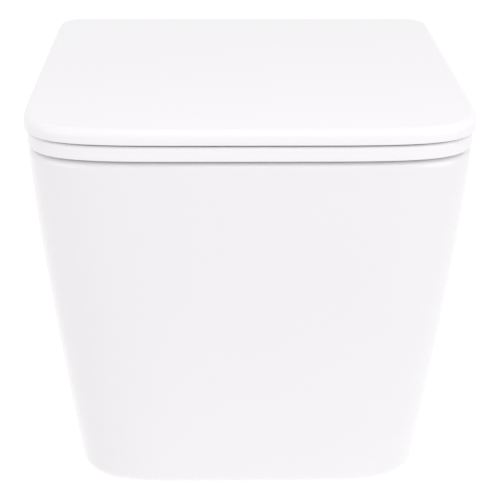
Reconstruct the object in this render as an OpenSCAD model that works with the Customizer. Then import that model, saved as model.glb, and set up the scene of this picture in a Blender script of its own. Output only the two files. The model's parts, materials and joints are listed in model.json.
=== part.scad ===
// Wall hung toilet: glazed ceramic pan, hidden side fixings, soft close seat and lid.
// Millimetres. +X is the right hand of a person facing the wall, +Y goes to the wall, +Z is up.
// The origin is midway between the two wall studs, in the plane of the finished wall.

/* [Pan outside] */
// Width of the pan at its rim
pan_width = 367; // [350:1:380]
// How far the ceramic stands out from the wall
pan_length = 477; // [465:1:530]
// Height of the ceramic from its underside to the rim
pan_height = 314; // [300:1:345]
// Height of the rim above the wall studs
rim_height = 92; // [86:1:110]
// Width of the underside, before its edge is rounded
foot_width = 301; // [270:1:320]
// How far the front steps back at the underside
foot_setback = 63; // [45:1:100]
// Bend of the side line: 1 is a straight taper
side_bend = 1.25; // [1:0.05:2]
// Bend of the front line: 1 is a straight slope
front_bend = 1.15; // [1:0.05:2]
// Length of the curved nose in plan
nose_length = 155; // [110:1:190]
// Squareness of the nose: 2 is an ellipse
nose_power = 5.6; // [2.5:0.1:6]
// Rounding of the rim's outer edge
rim_round = 9; // [5:0.5:12]
// Fullness of that rounding: 2 is round, and more is squarer
rim_power = 2.9; // [2:0.1:4]
// Rounding of the lower edge
foot_round = 13; // [10:1:30]
// Thickness of the skirt
skirt_wall = 10; // [8:0.5:14]
// Thickness of the deck
deck_wall = 12; // [10:0.5:16]

/* [Bowl] */
// Width of the bowl's mouth
mouth_width = 294; // [260:1:304]
// Width of the rim land in front of the mouth
mouth_front_land = 33; // [30:1:50]
// Distance from the wall to the back of the mouth
mouth_back = 112; // [106:1:130]
// Squareness of the mouth: 2 is an ellipse
mouth_power = 3.2; // [2:0.1:5]
// Rounding of the mouth's edge
mouth_round = 7; // [4:0.5:8]
// Depth of the rimless ledge below the rim
ledge_depth = 36; // [30:1:45]
// Width of the rimless ledge
ledge_width = 7; // [4:0.5:10]
// Width of the flush slot above the ledge
slot_width = 52; // [40:1:60]
// Height of the flush slot
slot_h = 15; // [12:1:18]
// Reach of the hood that turns the flush water to both sides
hood_reach = 20; // [16:1:26]
// Thickness of the hood
hood_t = 7; // [6:0.5:8]
// Thickness of the bowl's wall
bowl_wall = 10; // [8:0.5:11]
// Free height between the bowl's underside and the skirt's
bowl_clearance = 12; // [6:1:24]
// Width of the sump
sump_width = 68; // [60:1:80]
// Length of the sump
sump_length = 70; // [60:1:90]

/* [Trap and pipes] */
// Height of the outlet's axis below the studs
outlet_drop = 100; // [90:1:110]
// Outer radius of the outlet horn
outlet_r = 51; // [50:0.5:52]
// Wall of the outlet horn
outlet_wall = 6; // [5:0.5:8]
// Gap from the wall to the end of the outlet horn
outlet_recess = 8; // [4:1:15]
// Length of the outlet horn
horn_length = 42; // [38:1:46]
// Length of the outlet horn and its chamber
outlet_length = 112; // [105:1:118]
// Radius of the trap's passage
passage_r = 27.5; // [25:0.5:29]
// Bend radius of the trap's centre line
trap_bend = 45; // [42:1:46]
// Bend radius of the fall behind the weir
fall_bend = 38; // [38:0.5:40]
// Distance from the wall to the top of the trap
weir_back = 125; // [122:1:128]
// Ceramic between the throat of the bowl and the trap behind it
throat_wall = 13; // [11:1:16]
// Depth of the water seal
seal_depth = 50; // [48:1:52]
// Height of the flush inlet's axis above the studs
inlet_rise = 35; // [30:1:40]
// Radius of the flush inlet's socket
inlet_r = 27.5; // [27:0.5:28]
// Depth of the flush inlet's socket
inlet_socket = 45; // [35:1:50]
// Gap from the wall to the mouth of the flush inlet
inlet_recess = 15; // [10:1:20]
// Radius of the flush channel behind the bowl
channel_r = 19; // [15:0.5:20]
// Wall around the flush inlet
inlet_wall = 8; // [6:0.5:9]

/* [Wall fixings] */
// Distance between the two wall studs
stud_spacing = 180; // [180:1:230]
// Radius of a wall stud's thread
stud_r = 6; // [5.8:0.1:6]
// Radius of the stud holes in the fixing blocks
stud_hole_r = 6.25; // [6.1:0.05:6.5]
// Width of a fixing block
block_w = 40; // [36:1:44]
// Height of a fixing block
block_h = 36; // [32:1:40]
// Depth of a fixing block from the wall
block_d = 45; // [42:1:50]
// Radius of the fixing washer
washer_r = 12; // [11:0.5:13]
// Thickness of the fixing washer
washer_t = 2.5; // [2:0.5:3]
// Width across the flats of the stud nut
nut_flats = 19; // [18:0.5:20]
// Height of the stud nut
nut_h = 10; // [8:0.5:11]
// Radius of the clamp screw
clamp_r = 5; // [4:0.5:6]
// Distance from the wall to the clamp screw
clamp_back = 20; // [18:1:24]
// Radius of the side hole in the ceramic
side_hole_r = 11; // [10:0.5:12]
// Length of the boss around a side hole
side_boss_l = 28; // [26:1:32]
// Length of the bush in a side hole
side_bush_l = 14; // [12:1:15]
// Radius of the side cap
side_cap_r = 14; // [13:0.5:16]
// Depth of the side cap and its plug
side_plug_l = 10; // [8:0.5:11]
// Thickness of the side cap
side_cap_t = 2.6; // [2:0.1:4]

/* [Seat fixings] */
// Distance between the two seat posts
post_spacing = 155; // [150:1:160]
// Distance from the wall to the hinge axis
axis_back = 50; // [48:1:56]
// Height of the hinge axis above the deck
axis_rise = 17.5; // [17:0.5:19]
// How far the seat posts stand in front of the hinge axis
post_forward = 17; // [17:0.5:18]
// Radius of the seat holes in the deck
deck_hole_r = 7; // [6.5:0.25:8]
// Radius of a post's threaded shank
shank_r = 4; // [3.5:0.5:4.5]
// Length of a post's shank below the deck
shank_length = 36; // [34:1:40]
// Radius of a post's head
post_r = 5; // [4.5:0.25:5]
// Radius of the groove in a post
groove_r = 3; // [2.5:0.25:3]
// Radius of a base disc
disc_r = 12; // [10:0.5:12]
// Thickness of a base disc
disc_t = 3; // [2:0.5:3]
// Thickness of the gasket under a base disc
gasket_t = 1; // [0.8:0.1:1.5]
// Height of a post's hexagon collar
collar_h = 3; // [2:0.25:3]

/* [Hinges] */
// Radius of the hinge barrels
barrel_r = 7.5; // [7:0.25:7.75]
// Width of a hinge block
hinge_w = 32; // [30:1:34]
// Width of a hinge lug
lug_w = 16; // [14:0.5:18]
// Front face of a hinge block, in front of the post
hinge_front = 9; // [9:0.5:10]
// Height of a hinge block above the deck
hinge_h = 20; // [19:0.5:21]
// Radius of a damper's housing
damper_r = 5; // [4.5:0.25:5.25]
// Length of a damper's housing
damper_length = 22; // [20:1:23]
// Radius of a damper's shaft
shaft_r = 3.2; // [3:0.1:3.5]
// Radius of a plain hinge pin
pin_r = 3; // [2.5:0.25:3.5]
// Travel of a release button
button_travel = 2.2; // [1.8:0.1:2.4]
// Width of a release button
button_w = 15; // [12:1:18]
// Height of a release button
button_h = 8; // [7:0.5:8]
// Thickness of a release latch
latch_t = 2.6; // [2:0.1:2.8]
// Wire radius of a release spring
wire_r = 0.25; // [0.2:0.05:0.3]
// Outer radius of a release spring
spring_r = 2; // [1.8:0.1:2.1]

/* [Seat ring] */
// How far each side of the ring stands inside the pan's side
ring_side_step = 0.5; // [0:0.25:2]
// How far the ring stands in front of the ceramic
ring_overhang = 1.5; // [0:0.5:4]
// Thickness of the seat ring
ring_t = 12; // [11:0.5:13]
// Gap between the rim and the ring
ring_gap = 2; // [1.5:0.25:3]
// Rounding of the ring's upper edge
ring_round = 3; // [2:0.5:4]
// Width of the seat opening
opening_width = 228; // [205:1:240]
// Distance from the ring's front to its opening
opening_front = 60; // [52:1:75]
// Distance from the wall to the back of the opening
opening_back = 152; // [140:1:170]
// Squareness of the seat opening: 2 is an ellipse
opening_power = 2.7; // [2:0.1:4]

/* [Lid] */
// How far each side of the lid stands outside the pan's side
lid_side_step = 1.75; // [0:0.25:4]
// How far the lid stands in front of the ring
lid_overhang = 1.5; // [0:0.5:4]
// Gap between the ring and the lid
lid_gap = 1.5; // [1.25:0.25:2.5]
// Height of the lid's rim
lid_rim_h = 12.5; // [12:0.5:13]
// Rounding of the lid's upper edge
lid_round = 7; // [4:0.5:9]
// Thickness of the lid's top
lid_skin = 4; // [3:0.25:4.5]
// Thickness of the lid's side wall
lid_wall = 4.5; // [3.5:0.25:6]
// Rounding of the rear corners of the ring and the lid
rear_round = 24; // [18:1:36]

/* [Buffers] */
// Length of a ring buffer
ring_buffer_l = 30; // [20:1:36]
// Width of a ring buffer
ring_buffer_w = 9; // [7:0.5:10]
// Radius of a lid buffer
lid_buffer_r = 6; // [5:0.5:7]
// Height of a lid buffer
lid_buffer_h = 3; // [2:0.25:4]
// Radius of a buffer's peg
peg_r = 2; // [1.5:0.25:2.5]
// Depth of a buffer's peg
peg_h = 4; // [3:0.5:5]
// Distance from the wall to the rear ring buffers
rear_ring_buffer = 140; // [120:1:170]
// Distance from the wall to the front ring buffers
front_ring_buffer = 325; // [280:1:335]
// Distance from the wall to the rear lid buffers
rear_lid_buffer = 120; // [100:1:150]
// Distance from the wall to the front lid buffers
front_lid_buffer = 400; // [360:1:420]
// Distance from the lid's side to the middle of its buffers
lid_buffer_inset = 35.25; // [30:0.25:40]

/* [Clearances] */
// Radial clearance of a shaft or pin in its hole
fit_gap = 0.05; // [0.02:0.01:0.1]
// Gap between parts that slide or are laid together
laid_gap = 0.1; // [0.05:0.05:0.2]
// Gap beside a moving hinge part
side_gap = 0.5; // [0.3:0.1:0.8]
// Gap around parts that need room to be put in
play = 0.3; // [0.2:0.1:0.4]

/* [Hidden] */

ceramic_colour = [0.95, 0.94, 0.95];
plastic_colour = [0.97, 0.96, 0.97];
$fn = 64;
cut = 1;

// Heights of the main faces
foot_z = rim_height - pan_height;
deck_low = rim_height - deck_wall;
sump_z = foot_z + skirt_wall + bowl_clearance + bowl_wall;
axis_z = rim_height + axis_rise;
axis_y = -axis_back;
post_y = axis_y - post_forward;
ring_z = rim_height + ring_gap;
ring_top = ring_z + ring_t;
lid_z = ring_top + lid_gap;
lid_top = lid_z + lid_rim_h;
lid_under = lid_top - lid_skin;

// Where the seat and the lid end in plan
ring_half = pan_width / 2 - ring_side_step;
lid_half = pan_width / 2 + lid_side_step;
ring_front = -pan_length - ring_overhang;
lid_front = ring_front - lid_overhang;
ring_rear = axis_y + 3;
lid_rear = axis_y + 1;

// Points in each part of an outline, and steps in a loft
bend_steps = 12;
bend_start = 18;
corner_steps = 5;
oval_steps = 44;
body_steps = 7;
round_steps = 4;

// Angles of the points along a nose, close together where it bends
nose_bend = [for (i = [0 : bend_steps]) bend_start + (90 - 2 * bend_start) * i / bend_steps];
nose_angles = concat([0], nose_bend, [90], [for (i = [bend_steps : -1 : 0]) 180 - nose_bend[i]], [180]);

// A point on a superellipse of half sizes a and b, towards the angle t
function super_point(t, a, b, p) =
  let (k = pow(pow(abs(cos(t)), p) + pow(abs(sin(t)), p), -1 / p)) [a * k * cos(t), b * k * sin(t)];

// Closed plan outline with a squarish nose at -Y, from the rear right corner clockwise
function plan(half, rear, front, nose, rear_r) = concat(
  rear_r == 0
    ? [[half, rear]]
    : [for (i = [0 : corner_steps]) let (t = 90 - 90 * i / corner_steps)
        [half - rear_r + rear_r * cos(t), rear - rear_r + rear_r * sin(t)]],
  [for (t = nose_angles) let (q = super_point(t, half, nose, nose_power)) [q[0], front + nose - q[1]]],
  rear_r == 0
    ? [[-half, rear]]
    : [for (i = [0 : corner_steps]) let (t = 180 - 90 * i / corner_steps)
        [-half + rear_r + rear_r * cos(t), rear - rear_r + rear_r * sin(t)]]
);

// Closed oval outline between two Y values, turning the same way as a plan outline
function oval(half, rear, front, p) = [
  for (i = [0 : oval_steps - 1])
    let (q = super_point(-360 * i / oval_steps, half, (rear - front) / 2, p))
    [q[0], q[1] + (rear + front) / 2]
];

// Lifts an outline to the height z
function at_height(outline, z) = [for (q = outline) [q[0], q[1], z]];

// Solid through a stack of outlines with equal point counts, the first one lowest
module loft(outlines) {
  n = len(outlines[0]);
  m = len(outlines);
  points = [for (o = outlines) for (q = o) q];
  sides = [
    for (k = [0 : m - 2]) for (i = [0 : n - 1]) let (j = (i + 1) % n, a = k * n, b = a + n)
      each [[a + i, b + j, b + i], [a + i, a + j, b + j]]
  ];
  low = [for (i = [1 : n - 2]) [0, i + 1, i]];
  high = [for (i = [1 : n - 2]) [(m - 1) * n, (m - 1) * n + i, (m - 1) * n + i + 1]];
  polyhedron(points = points, faces = concat(sides, low, high), convexity = 8);
}

// Round bar of radius r from x0 to x1, at a place in the YZ plane
module bar_x(x0, x1, y, z, r) {
  translate([min(x0, x1), y, z]) rotate([0, 90, 0]) cylinder(r = r, h = abs(x1 - x0));
}

// Round bar of radius r from y0 to y1, at a place in the XZ plane
module bar_y(y0, y1, x, z, r) {
  translate([x, max(y0, y1), z]) rotate([90, 0, 0]) cylinder(r = r, h = abs(y1 - y0));
}

// Box between two corners
module box(low, high) {
  translate(low) cube(high - low);
}

// Mirrors its children to the left for side -1
module on_side(side) {
  scale_x = side < 0 ? 1 : 0;
  mirror([scale_x, 0, 0]) children();
}

// Share of the pan's height that lies above z
function drop(z) = (rim_height - z) / pan_height;

// Half width and front reach of the pan at the height z, before roundings
function half_at(z) = pan_width / 2 - (pan_width - foot_width) / 2 * pow(max(drop(z), 0), side_bend);
function reach_at(z) = pan_length - foot_setback * pow(max(drop(z), 0), front_bend);

// Outline of the pan at the height z, moved inwards by inset, with its back at rear
function pan_outline(z, inset, rear) =
  at_height(plan(half_at(z) - inset, rear, inset - reach_at(z), nose_length - inset, 0), z);

module pan_outside() {
  foot = [for (i = [0 : round_steps]) let (t = 90 * i / round_steps)
    pan_outline(foot_z + foot_round * (1 - cos(t)), foot_round * (1 - sin(t)), 0)];
  body_h = pan_height - foot_round - rim_round;
  body = [for (i = [1 : body_steps - 1]) pan_outline(foot_z + foot_round + body_h * i / body_steps, 0, 0)];
  rim = [for (i = [0 : round_steps]) let (t = 90 * i / round_steps)
    let (up = pow(sin(t), 2 / rim_power), out = pow(cos(t), 2 / rim_power))
    pan_outline(rim_height - rim_round * (1 - up), rim_round * (1 - out), 0)];
  loft(concat(foot, body, rim));
}

// Hollow of the skirt, open at the wall
module skirt_hollow() {
  low = foot_z + skirt_wall;
  high = deck_low;
  inner_round = max(foot_round - skirt_wall, 2);
  foot = [for (i = [0 : 2]) let (t = 45 * i)
    pan_outline(low + inner_round * (1 - cos(t)), skirt_wall + inner_round * (1 - sin(t)), cut)];
  body = [for (i = [1 : body_steps])
    pan_outline(low + inner_round + (high - low - inner_round) * i / body_steps, skirt_wall, cut)];
  loft(concat(foot, body));
}

// Profile lines of the bowl: 1 at the mouth and 0 at the sump
function bowl_share(v, p) = pow(max(1 - pow(v, p), 0), 1 / p);
function ease(s) = let (c = min(max(s, 0), 1)) c * c * (3 - 2 * c);

mouth_half = mouth_width / 2;
mouth_front = -pan_length + mouth_front_land;
throat_y = -weir_back - trap_bend - passage_r - throat_wall;
ease_top = rim_height - ledge_depth;
ease_fall = 146;
ledge_step = 2;
side_curve = 1.7;
front_curve = 1.6;
floor_rise = passage_r * 1.5;
floor_pull = passage_r * 0.6;
sump_front = throat_y - sump_length;

function bowl_half(v) =
  sump_width / 2 + (mouth_half - ledge_width - sump_width / 2) * bowl_share(v, side_curve);
function bowl_front(v) = sump_front + (mouth_front + ledge_width - sump_front) * bowl_share(v, front_curve);
function bowl_rear(z) =
  let (floor_share = min(max((sump_z + floor_rise - z) / floor_rise, 0), 1))
  -mouth_back - ledge_width + (throat_y + mouth_back + ledge_width) * ease((ease_top - z) / ease_fall)
    - floor_pull * (1 - sqrt(1 - floor_share * floor_share));

// Outline of the bowl's water side at the share v of its depth, grown by grow
function bowl_outline(v, grow) =
  let (z = ease_top - (ease_top - sump_z) * v)
  at_height(
    oval(bowl_half(v) + grow, bowl_rear(z) + grow, bowl_front(v) - grow,
      mouth_power - (mouth_power - 2) * v),
    z - grow * v
  );

function mouth_outline(z, grow) =
  at_height(oval(mouth_half + grow, -mouth_back + grow, mouth_front - grow, mouth_power), z);

bowl_levels = [1, 0.985, 0.95, 0.89, 0.8, 0.68, 0.55, 0.42, 0.3, 0.18, 0.08, 0];

module bowl_water_side() {
  lip = [for (i = [0 : 3]) let (t = 30 * i)
    mouth_outline(rim_height - mouth_round * (1 - sin(t)), mouth_round * (1 - cos(t)))];
  loft(concat(
    [for (v = bowl_levels) bowl_outline(v, 0)],
    [mouth_outline(ease_top + ledge_step, 0)],
    lip,
    [mouth_outline(rim_height + cut, mouth_round)]
  ));
}

module bowl_outside() {
  loft(concat(
    [for (v = bowl_levels) bowl_outline(v, bowl_wall)],
    [for (z = [ease_top + ledge_step, rim_height - deck_wall / 2]) mouth_outline(z, bowl_wall)]
  ));
}

// Centre line of the trap in the YZ plane, with its heading at each point
dip_z = sump_z + passage_r;
weir_z = sump_z + 2 * passage_r + seal_depth + passage_r;
rise_y = -weir_back - trap_bend;
trap_lead = 40;
trap_line = concat(
  [[rise_y - trap_bend - trap_lead, dip_z, 0]],
  [for (i = [0 : 5]) let (t = 18 * i)
    [rise_y - trap_bend + trap_bend * sin(t), dip_z + trap_bend * (1 - cos(t)), t]],
  [for (i = [0 : 5]) let (t = 90 - 18 * i)
    [-weir_back - trap_bend * sin(t), weir_z - trap_bend * (1 - cos(t)), t]],
  [for (i = [1 : 5]) let (t = 18 * i)
    [-weir_back + fall_bend * sin(t), weir_z - fall_bend * (1 - cos(t)), -t]]
);
tube_sides = 20;

// Tube of radius r along the trap's centre line
module trap_tube(r) {
  outlines = [for (q = trap_line) [for (i = [0 : tube_sides - 1]) let (t = 360 * (i + 0.5) / tube_sides)
    [r * cos(t), q[0] - r * sin(t) * sin(q[2]), q[1] + r * sin(t) * cos(q[2])]]];
  loft(outlines);
}

chamber_front = -outlet_recess - outlet_length;
horn_step = 2;
side_x = half_at(0);
stud_x = stud_spacing / 2;
boss_in = side_x - side_boss_l;
inlet_end = -inlet_recess - inlet_socket;
lug_rear = -1;
lug_overhang = 6;
lug_side = 4;
lug_t = 12;
lug_front = -block_d - lug_overhang;
lug_top = block_h / 2 + lug_t;

// Shelf inside the skirt that hangs on a fixing block, and boss around the side hole
module hanging_lug() {
  box([stud_x - block_w / 2 - lug_side, lug_front, block_h / 2 + laid_gap],
      [half_at(block_h / 2) - skirt_wall / 2, lug_rear, lug_top]);
  box([boss_in, lug_front, -block_h / 2], [side_x - skirt_wall / 2, lug_rear, lug_top]);
}

slot_rise = 4;
slot_mid = ease_top + slot_rise + slot_h / 2;
slot_open = -mouth_back - 1.5;

channel_steps = 4;
channel_sides = 24;

// Flush channel between the slot at the back of the bowl and the inlet, grown by grow
module flush_channel(grow, front, rear) {
  outlines = [for (i = [0 : channel_steps])
    let (s = i / channel_steps, w = slot_width / 2 + (channel_r - slot_width / 2) * ease(s) + grow,
         h = slot_h / 2 + (channel_r - slot_h / 2) * ease(s) + grow,
         z = slot_mid + (inlet_rise - slot_mid) * ease(s))
    [for (k = [0 : channel_sides - 1]) let (q = super_point(360 * k / channel_sides, w, h, 5 - 3 * s))
      [q[0], front + (rear - front) * s, z + q[1]]]];
  loft(outlines);
}

// Hood in front of the flush slot, open at both sides
hood_side = 8;
hood_edge = 2;
module flush_hood() {
  half = slot_width / 2 + hood_side;
  root = -mouth_back + bowl_wall / 2;
  front = -mouth_back - hood_reach;
  back = front + hood_t;
  low = slot_mid - slot_h / 2;
  roof = slot_mid + slot_h / 2 + play;
  e = hood_edge;
  rotate([90, 0, 90]) translate([0, 0, -half]) linear_extrude(2 * half) polygon([
    [root, roof], [back, roof], [back, low + e], [back - e, low], [front + e, low], [front, low + e],
    [front, deck_low - e], [front + e, deck_low], [root, deck_low]
  ]);
}

horn_end = -outlet_recess - horn_length;
chamber_end = chamber_front - bowl_wall;
channel_end = inlet_end - inlet_wall / 2;

// Everything above the underside of the deck
module deck_zone() {
  side = pan_width + rim_height;
  box([-side, -pan_length * 2, deck_low], [side, pan_length, rim_height * 2]);
}

// The pan is one fired piece. It is drawn as six solids that touch, so that each keeps its own hollow.
// Skirt: sides, front and underside, with the lugs that hang on the wall fixings
module pan_skirt() {
  color(ceramic_colour) difference() {
    union() {
      difference() {
        pan_outside();
        skirt_hollow();
        deck_zone();
      }
      for (side = [-1, 1]) on_side(side) hanging_lug();
    }
    for (side = [-1, 1]) on_side(side) {
      bar_x(boss_in - cut, side_x + 2, -clamp_back, 0, side_hole_r);
      bar_x(side_x - side_cap_t, side_x + 6, -clamp_back, 0, side_cap_r + laid_gap);
    }
  }
}

// Deck with the rim, the mouth and the seat's holes
module pan_deck() {
  color(ceramic_colour) difference() {
    intersection() {
      pan_outside();
      deck_zone();
    }
    bowl_water_side();
    for (side = [-1, 1]) on_side(side) translate([post_spacing / 2, post_y, deck_low - cut])
      cylinder(r = deck_hole_r, h = deck_wall + 2 * cut);
  }
}

// Bowl from the deck down to the sump, with the hood of the flush slot
module pan_bowl() {
  color(ceramic_colour) union() {
    difference() {
      bowl_outside();
      bowl_water_side();
      deck_zone();
      flush_channel(0, slot_open, inlet_end + cut);
      trap_tube(passage_r);
    }
    flush_hood();
  }
}

// Trap from the bowl's outside to the chamber of the horn
module pan_trap() {
  color(ceramic_colour) difference() {
    trap_tube(passage_r + bowl_wall);
    bowl_outside();
    bar_y(chamber_end, 0, 0, -outlet_drop, outlet_r + horn_step);
    trap_tube(passage_r);
  }
}

// Outlet horn with the chamber that the trap falls into
module pan_horn() {
  color(ceramic_colour) difference() {
    union() {
      bar_y(horn_end - cut, -outlet_recess, 0, -outlet_drop, outlet_r);
      bar_y(chamber_end, horn_end, 0, -outlet_drop, outlet_r + horn_step);
    }
    trap_tube(passage_r);
    bar_y(chamber_front, cut, 0, -outlet_drop, outlet_r - outlet_wall);
  }
}

// Flush inlet with the channel that leads to the bowl
module pan_inlet() {
  color(ceramic_colour) difference() {
    union() {
      bar_y(inlet_end - inlet_wall, -inlet_recess, 0, inlet_rise, inlet_r + inlet_wall);
      flush_channel(inlet_wall, -mouth_back - ledge_step, channel_end);
    }
    bowl_outside();
    deck_zone();
    flush_channel(0, slot_open, inlet_end + cut);
    bar_y(inlet_end, cut, 0, inlet_rise, inlet_r);
  }
}

// Nylon block on a wall stud, with a round seat for the nut and a cone seat for the clamp screw
nut_sink = 1;
nut_seat = block_d - nut_h - washer_t - nut_sink;
cone_tip_r = 0.4;
module fixing_block(side) {
  color("whitesmoke") on_side(side) difference() {
    box([stud_x - block_w / 2, -block_d, -block_h / 2], [stud_x + block_w / 2, 0, block_h / 2]);
    bar_y(-block_d - cut, cut, stud_x, 0, stud_hole_r);
    bar_y(-block_d - cut, -nut_seat, stud_x, 0, washer_r + play);
    translate([stud_x + block_w / 2 - clamp_r, -clamp_back, 0]) rotate([0, 90, 0])
      cylinder(r1 = cone_tip_r, r2 = clamp_r + cone_tip_r + laid_gap, h = clamp_r + 0.01);
  }
}

module fixing_washer(side) {
  color("silver") on_side(side) difference() {
    bar_y(-nut_seat - washer_t, -nut_seat, stud_x, 0, washer_r);
    bar_y(-nut_seat - washer_t - cut, -nut_seat + cut, stud_x, 0, stud_hole_r);
  }
}

module fixing_nut(side) {
  nut_y = -nut_seat - washer_t;
  color("silver") on_side(side) difference() {
    translate([stud_x, nut_y, 0]) rotate([90, 0, 0]) cylinder(r = nut_flats / sqrt(3), h = nut_h, $fn = 6);
    bar_y(nut_y - nut_h - cut, nut_y + cut, stud_x, 0, stud_r + fit_gap);
  }
}

// Screw that bears on a fixing block and draws the pan to the wall
screw_back_off = 0.8;
screw_tip = stud_x + block_w / 2 - clamp_r + screw_back_off;
screw_end = side_x - side_bush_l + 2;
socket_depth = 4;
module clamp_screw(side) {
  color("silver") on_side(side) difference() {
    union() {
      translate([screw_tip, -clamp_back, 0]) rotate([0, 90, 0])
        cylinder(r1 = cone_tip_r, r2 = clamp_r, h = clamp_r);
      bar_x(screw_tip + clamp_r, screw_end, -clamp_back, 0, clamp_r);
    }
    translate([screw_end - socket_depth, -clamp_back, 0]) rotate([0, 90, 0])
      cylinder(r = clamp_r * 0.55, h = socket_depth + cut, $fn = 6);
  }
}

bush_far = side_x - side_bush_l;
bush_near = bush_far - side_bush_l;
module side_bush(side) {
  color("white") on_side(side) difference() {
    bar_x(bush_near, bush_far, -clamp_back, 0, side_hole_r - fit_gap);
    bar_x(bush_near - cut, bush_far + cut, -clamp_back, 0, clamp_r + fit_gap);
  }
}

plug_wall = 2;
module side_cap(side) {
  color(plastic_colour) on_side(side) difference() {
    union() {
      bar_x(side_x - side_cap_t, side_x, -clamp_back, 0, side_cap_r);
      bar_x(side_x - side_plug_l, side_x - side_cap_t, -clamp_back, 0, side_hole_r - laid_gap);
    }
    bar_x(side_x - side_plug_l - cut, side_x - side_cap_t, -clamp_back, 0, side_hole_r - plug_wall);
  }
}

// Moves its children to the deck hole on one side, with z 0 at the rim
module at_post(side) {
  translate([side * post_spacing / 2, post_y, rim_height]) children();
}

disc_top = gasket_t + disc_t;

module deck_gasket(side) {
  color("dimgray") at_post(side) difference() {
    cylinder(r = disc_r - 0.5, h = gasket_t);
    translate([0, 0, -cut]) cylinder(r = shank_r + play, h = gasket_t + 2 * cut);
  }
}

module base_disc(side) {
  color("gainsboro") at_post(side) translate([0, 0, gasket_t]) difference() {
    rotate_extrude() polygon([
      [0, 0], [disc_r, 0], [disc_r, disc_t - 1], [disc_r - 1, disc_t], [0, disc_t]
    ]);
    translate([0, 0, -cut]) cylinder(r = shank_r + play, h = disc_t + 2 * cut);
  }
}

latch_mid = disc_top + collar_h + button_h / 2 + play;
groove_h = latch_t + 0.4;
post_top = hinge_h - 3;
collar_r = 7.5;
module hinge_post(side) {
  groove = latch_mid - groove_h / 2;
  collar_top = disc_top + collar_h;
  color("silver") at_post(side) union() {
    rotate_extrude() polygon([
      [0, -shank_length], [shank_r - 0.6, -shank_length], [shank_r, -shank_length + 0.8],
      [shank_r, collar_top - 1], [post_r, collar_top - 1], [post_r, groove], [groove_r, groove],
      [groove_r, groove + groove_h], [post_r, groove + groove_h], [post_r, post_top - 1.5],
      [post_r - 1.5, post_top], [0, post_top]
    ]);
    translate([0, 0, disc_top]) cylinder(r = collar_r, h = collar_h, $fn = 6);
  }
}

// Rubber sleeve that swells below the deck when its nut is drawn up
sleeve_l = 14;
bulge_top = -deck_wall - play;
bush_end = bulge_top - sleeve_l;
module expansion_bush(side) {
  sleeve_r = deck_hole_r - laid_gap;
  color("black") at_post(side) difference() {
    rotate_extrude() polygon([
      [0, bush_end], [sleeve_r, bush_end], [sleeve_r + 2.5, bulge_top - 9], [sleeve_r + 3, bulge_top - 5],
      [sleeve_r + 2, bulge_top], [sleeve_r, bulge_top], [sleeve_r, -play], [0, -play]
    ]);
    translate([0, 0, bush_end - cut]) cylinder(r = shank_r + fit_gap, h = -bush_end + 2 * cut);
  }
}

module expansion_nut(side) {
  nut_low = -shank_length + 1.5;
  color("gold") at_post(side) difference() {
    translate([0, 0, nut_low]) cylinder(r = deck_hole_r - play, h = bush_end - nut_low, $fn = 6);
    translate([0, 0, nut_low - cut]) cylinder(r = shank_r + fit_gap, h = bush_end - nut_low + 2 * cut);
  }
}

// Moves its children to one hinge: x 0 at the post, y 0 and z 0 on the hinge axis, front to +Y
module at_hinge(side) {
  translate([side * post_spacing / 2, axis_y, axis_z]) rotate([0, 0, 180]) children();
}

body_rear = 3;
body_front = post_forward + hinge_front;
body_low = disc_top - axis_rise;
body_high = hinge_h - axis_rise;
latch_z = latch_mid - axis_rise;
slot_rear = body_rear + 2.5;
head_rear = body_front - 0.7;
head_front = body_front + button_travel - 0.2;
latch_rear = slot_rear + 5.7;
spring_pocket_r = spring_r + 0.2;
damper_start = hinge_w / 2 - damper_length;
key_half = 1;
key_h = 1;
pin_spare = 3;

module hinge_block(side) {
  half = hinge_w / 2;
  // Outboard is towards -X here on the right hinge, because at_hinge turns round
  outboard = -side;
  damper_side = side < 0 ? outboard : -outboard;
  bore_in = damper_side * damper_start;
  color(plastic_colour) at_hinge(side) difference() {
    union() {
      bar_x(-half, half, 0, 0, barrel_r);
      rotate([90, 0, 90]) translate([0, 0, -half]) linear_extrude(hinge_w) polygon([
        [body_rear, body_low], [body_front, body_low], [body_front, body_high - 3],
        [body_front - 3, body_high], [body_rear, body_high + 1]
      ]);
    }
    // Housing of the damper, with its key slot, and the plain pin opposite
    bar_x(bore_in, damper_side * (half + cut), 0, 0, damper_r + fit_gap);
    box([min(bore_in, damper_side * (half + cut)), -key_half - laid_gap, damper_r - key_h],
        [max(bore_in, damper_side * (half + cut)), key_half + laid_gap, damper_r + key_h + laid_gap]);
    bar_x(bore_in - damper_side * pin_spare, -damper_side * (half + cut), 0, 0, pin_r + fit_gap);
    // Bore and collar seat for the post
    translate([0, post_forward, body_low - cut]) cylinder(r = collar_r + play, h = collar_h + cut + play);
    translate([0, post_forward, body_low]) cylinder(r = post_r + fit_gap, h = post_top - disc_top + 0.2);
    // Slot for the latch, recess for the button and pocket for its spring
    box([-button_w / 2 - laid_gap, slot_rear, latch_z - groove_h / 2],
        [button_w / 2 + laid_gap, body_front + cut, latch_z + groove_h / 2]);
    box([-button_w / 2 - laid_gap, body_front - 3, latch_z - button_h / 2 - laid_gap],
        [button_w / 2 + laid_gap, body_front + cut, latch_z + button_h / 2 + laid_gap]);
    bar_y(slot_rear, latch_rear + 1, 0, latch_z, spring_pocket_r);
  }
}

// Button with the latch plate that grips the groove of the post
module release_button(side) {
  grip_r = post_r + 0.3;
  grip_y = post_forward + button_travel;
  color(plastic_colour) at_hinge(side) difference() {
    union() {
      box([-button_w / 2, head_rear, latch_z - button_h / 2],
          [button_w / 2, head_front, latch_z + button_h / 2]);
      box([-button_w / 2, latch_rear, latch_z - latch_t / 2],
          [button_w / 2, head_rear + cut, latch_z + latch_t / 2]);
    }
    translate([0, grip_y, latch_z - button_h]) cylinder(r = grip_r, h = button_h * 2);
  }
}

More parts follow.
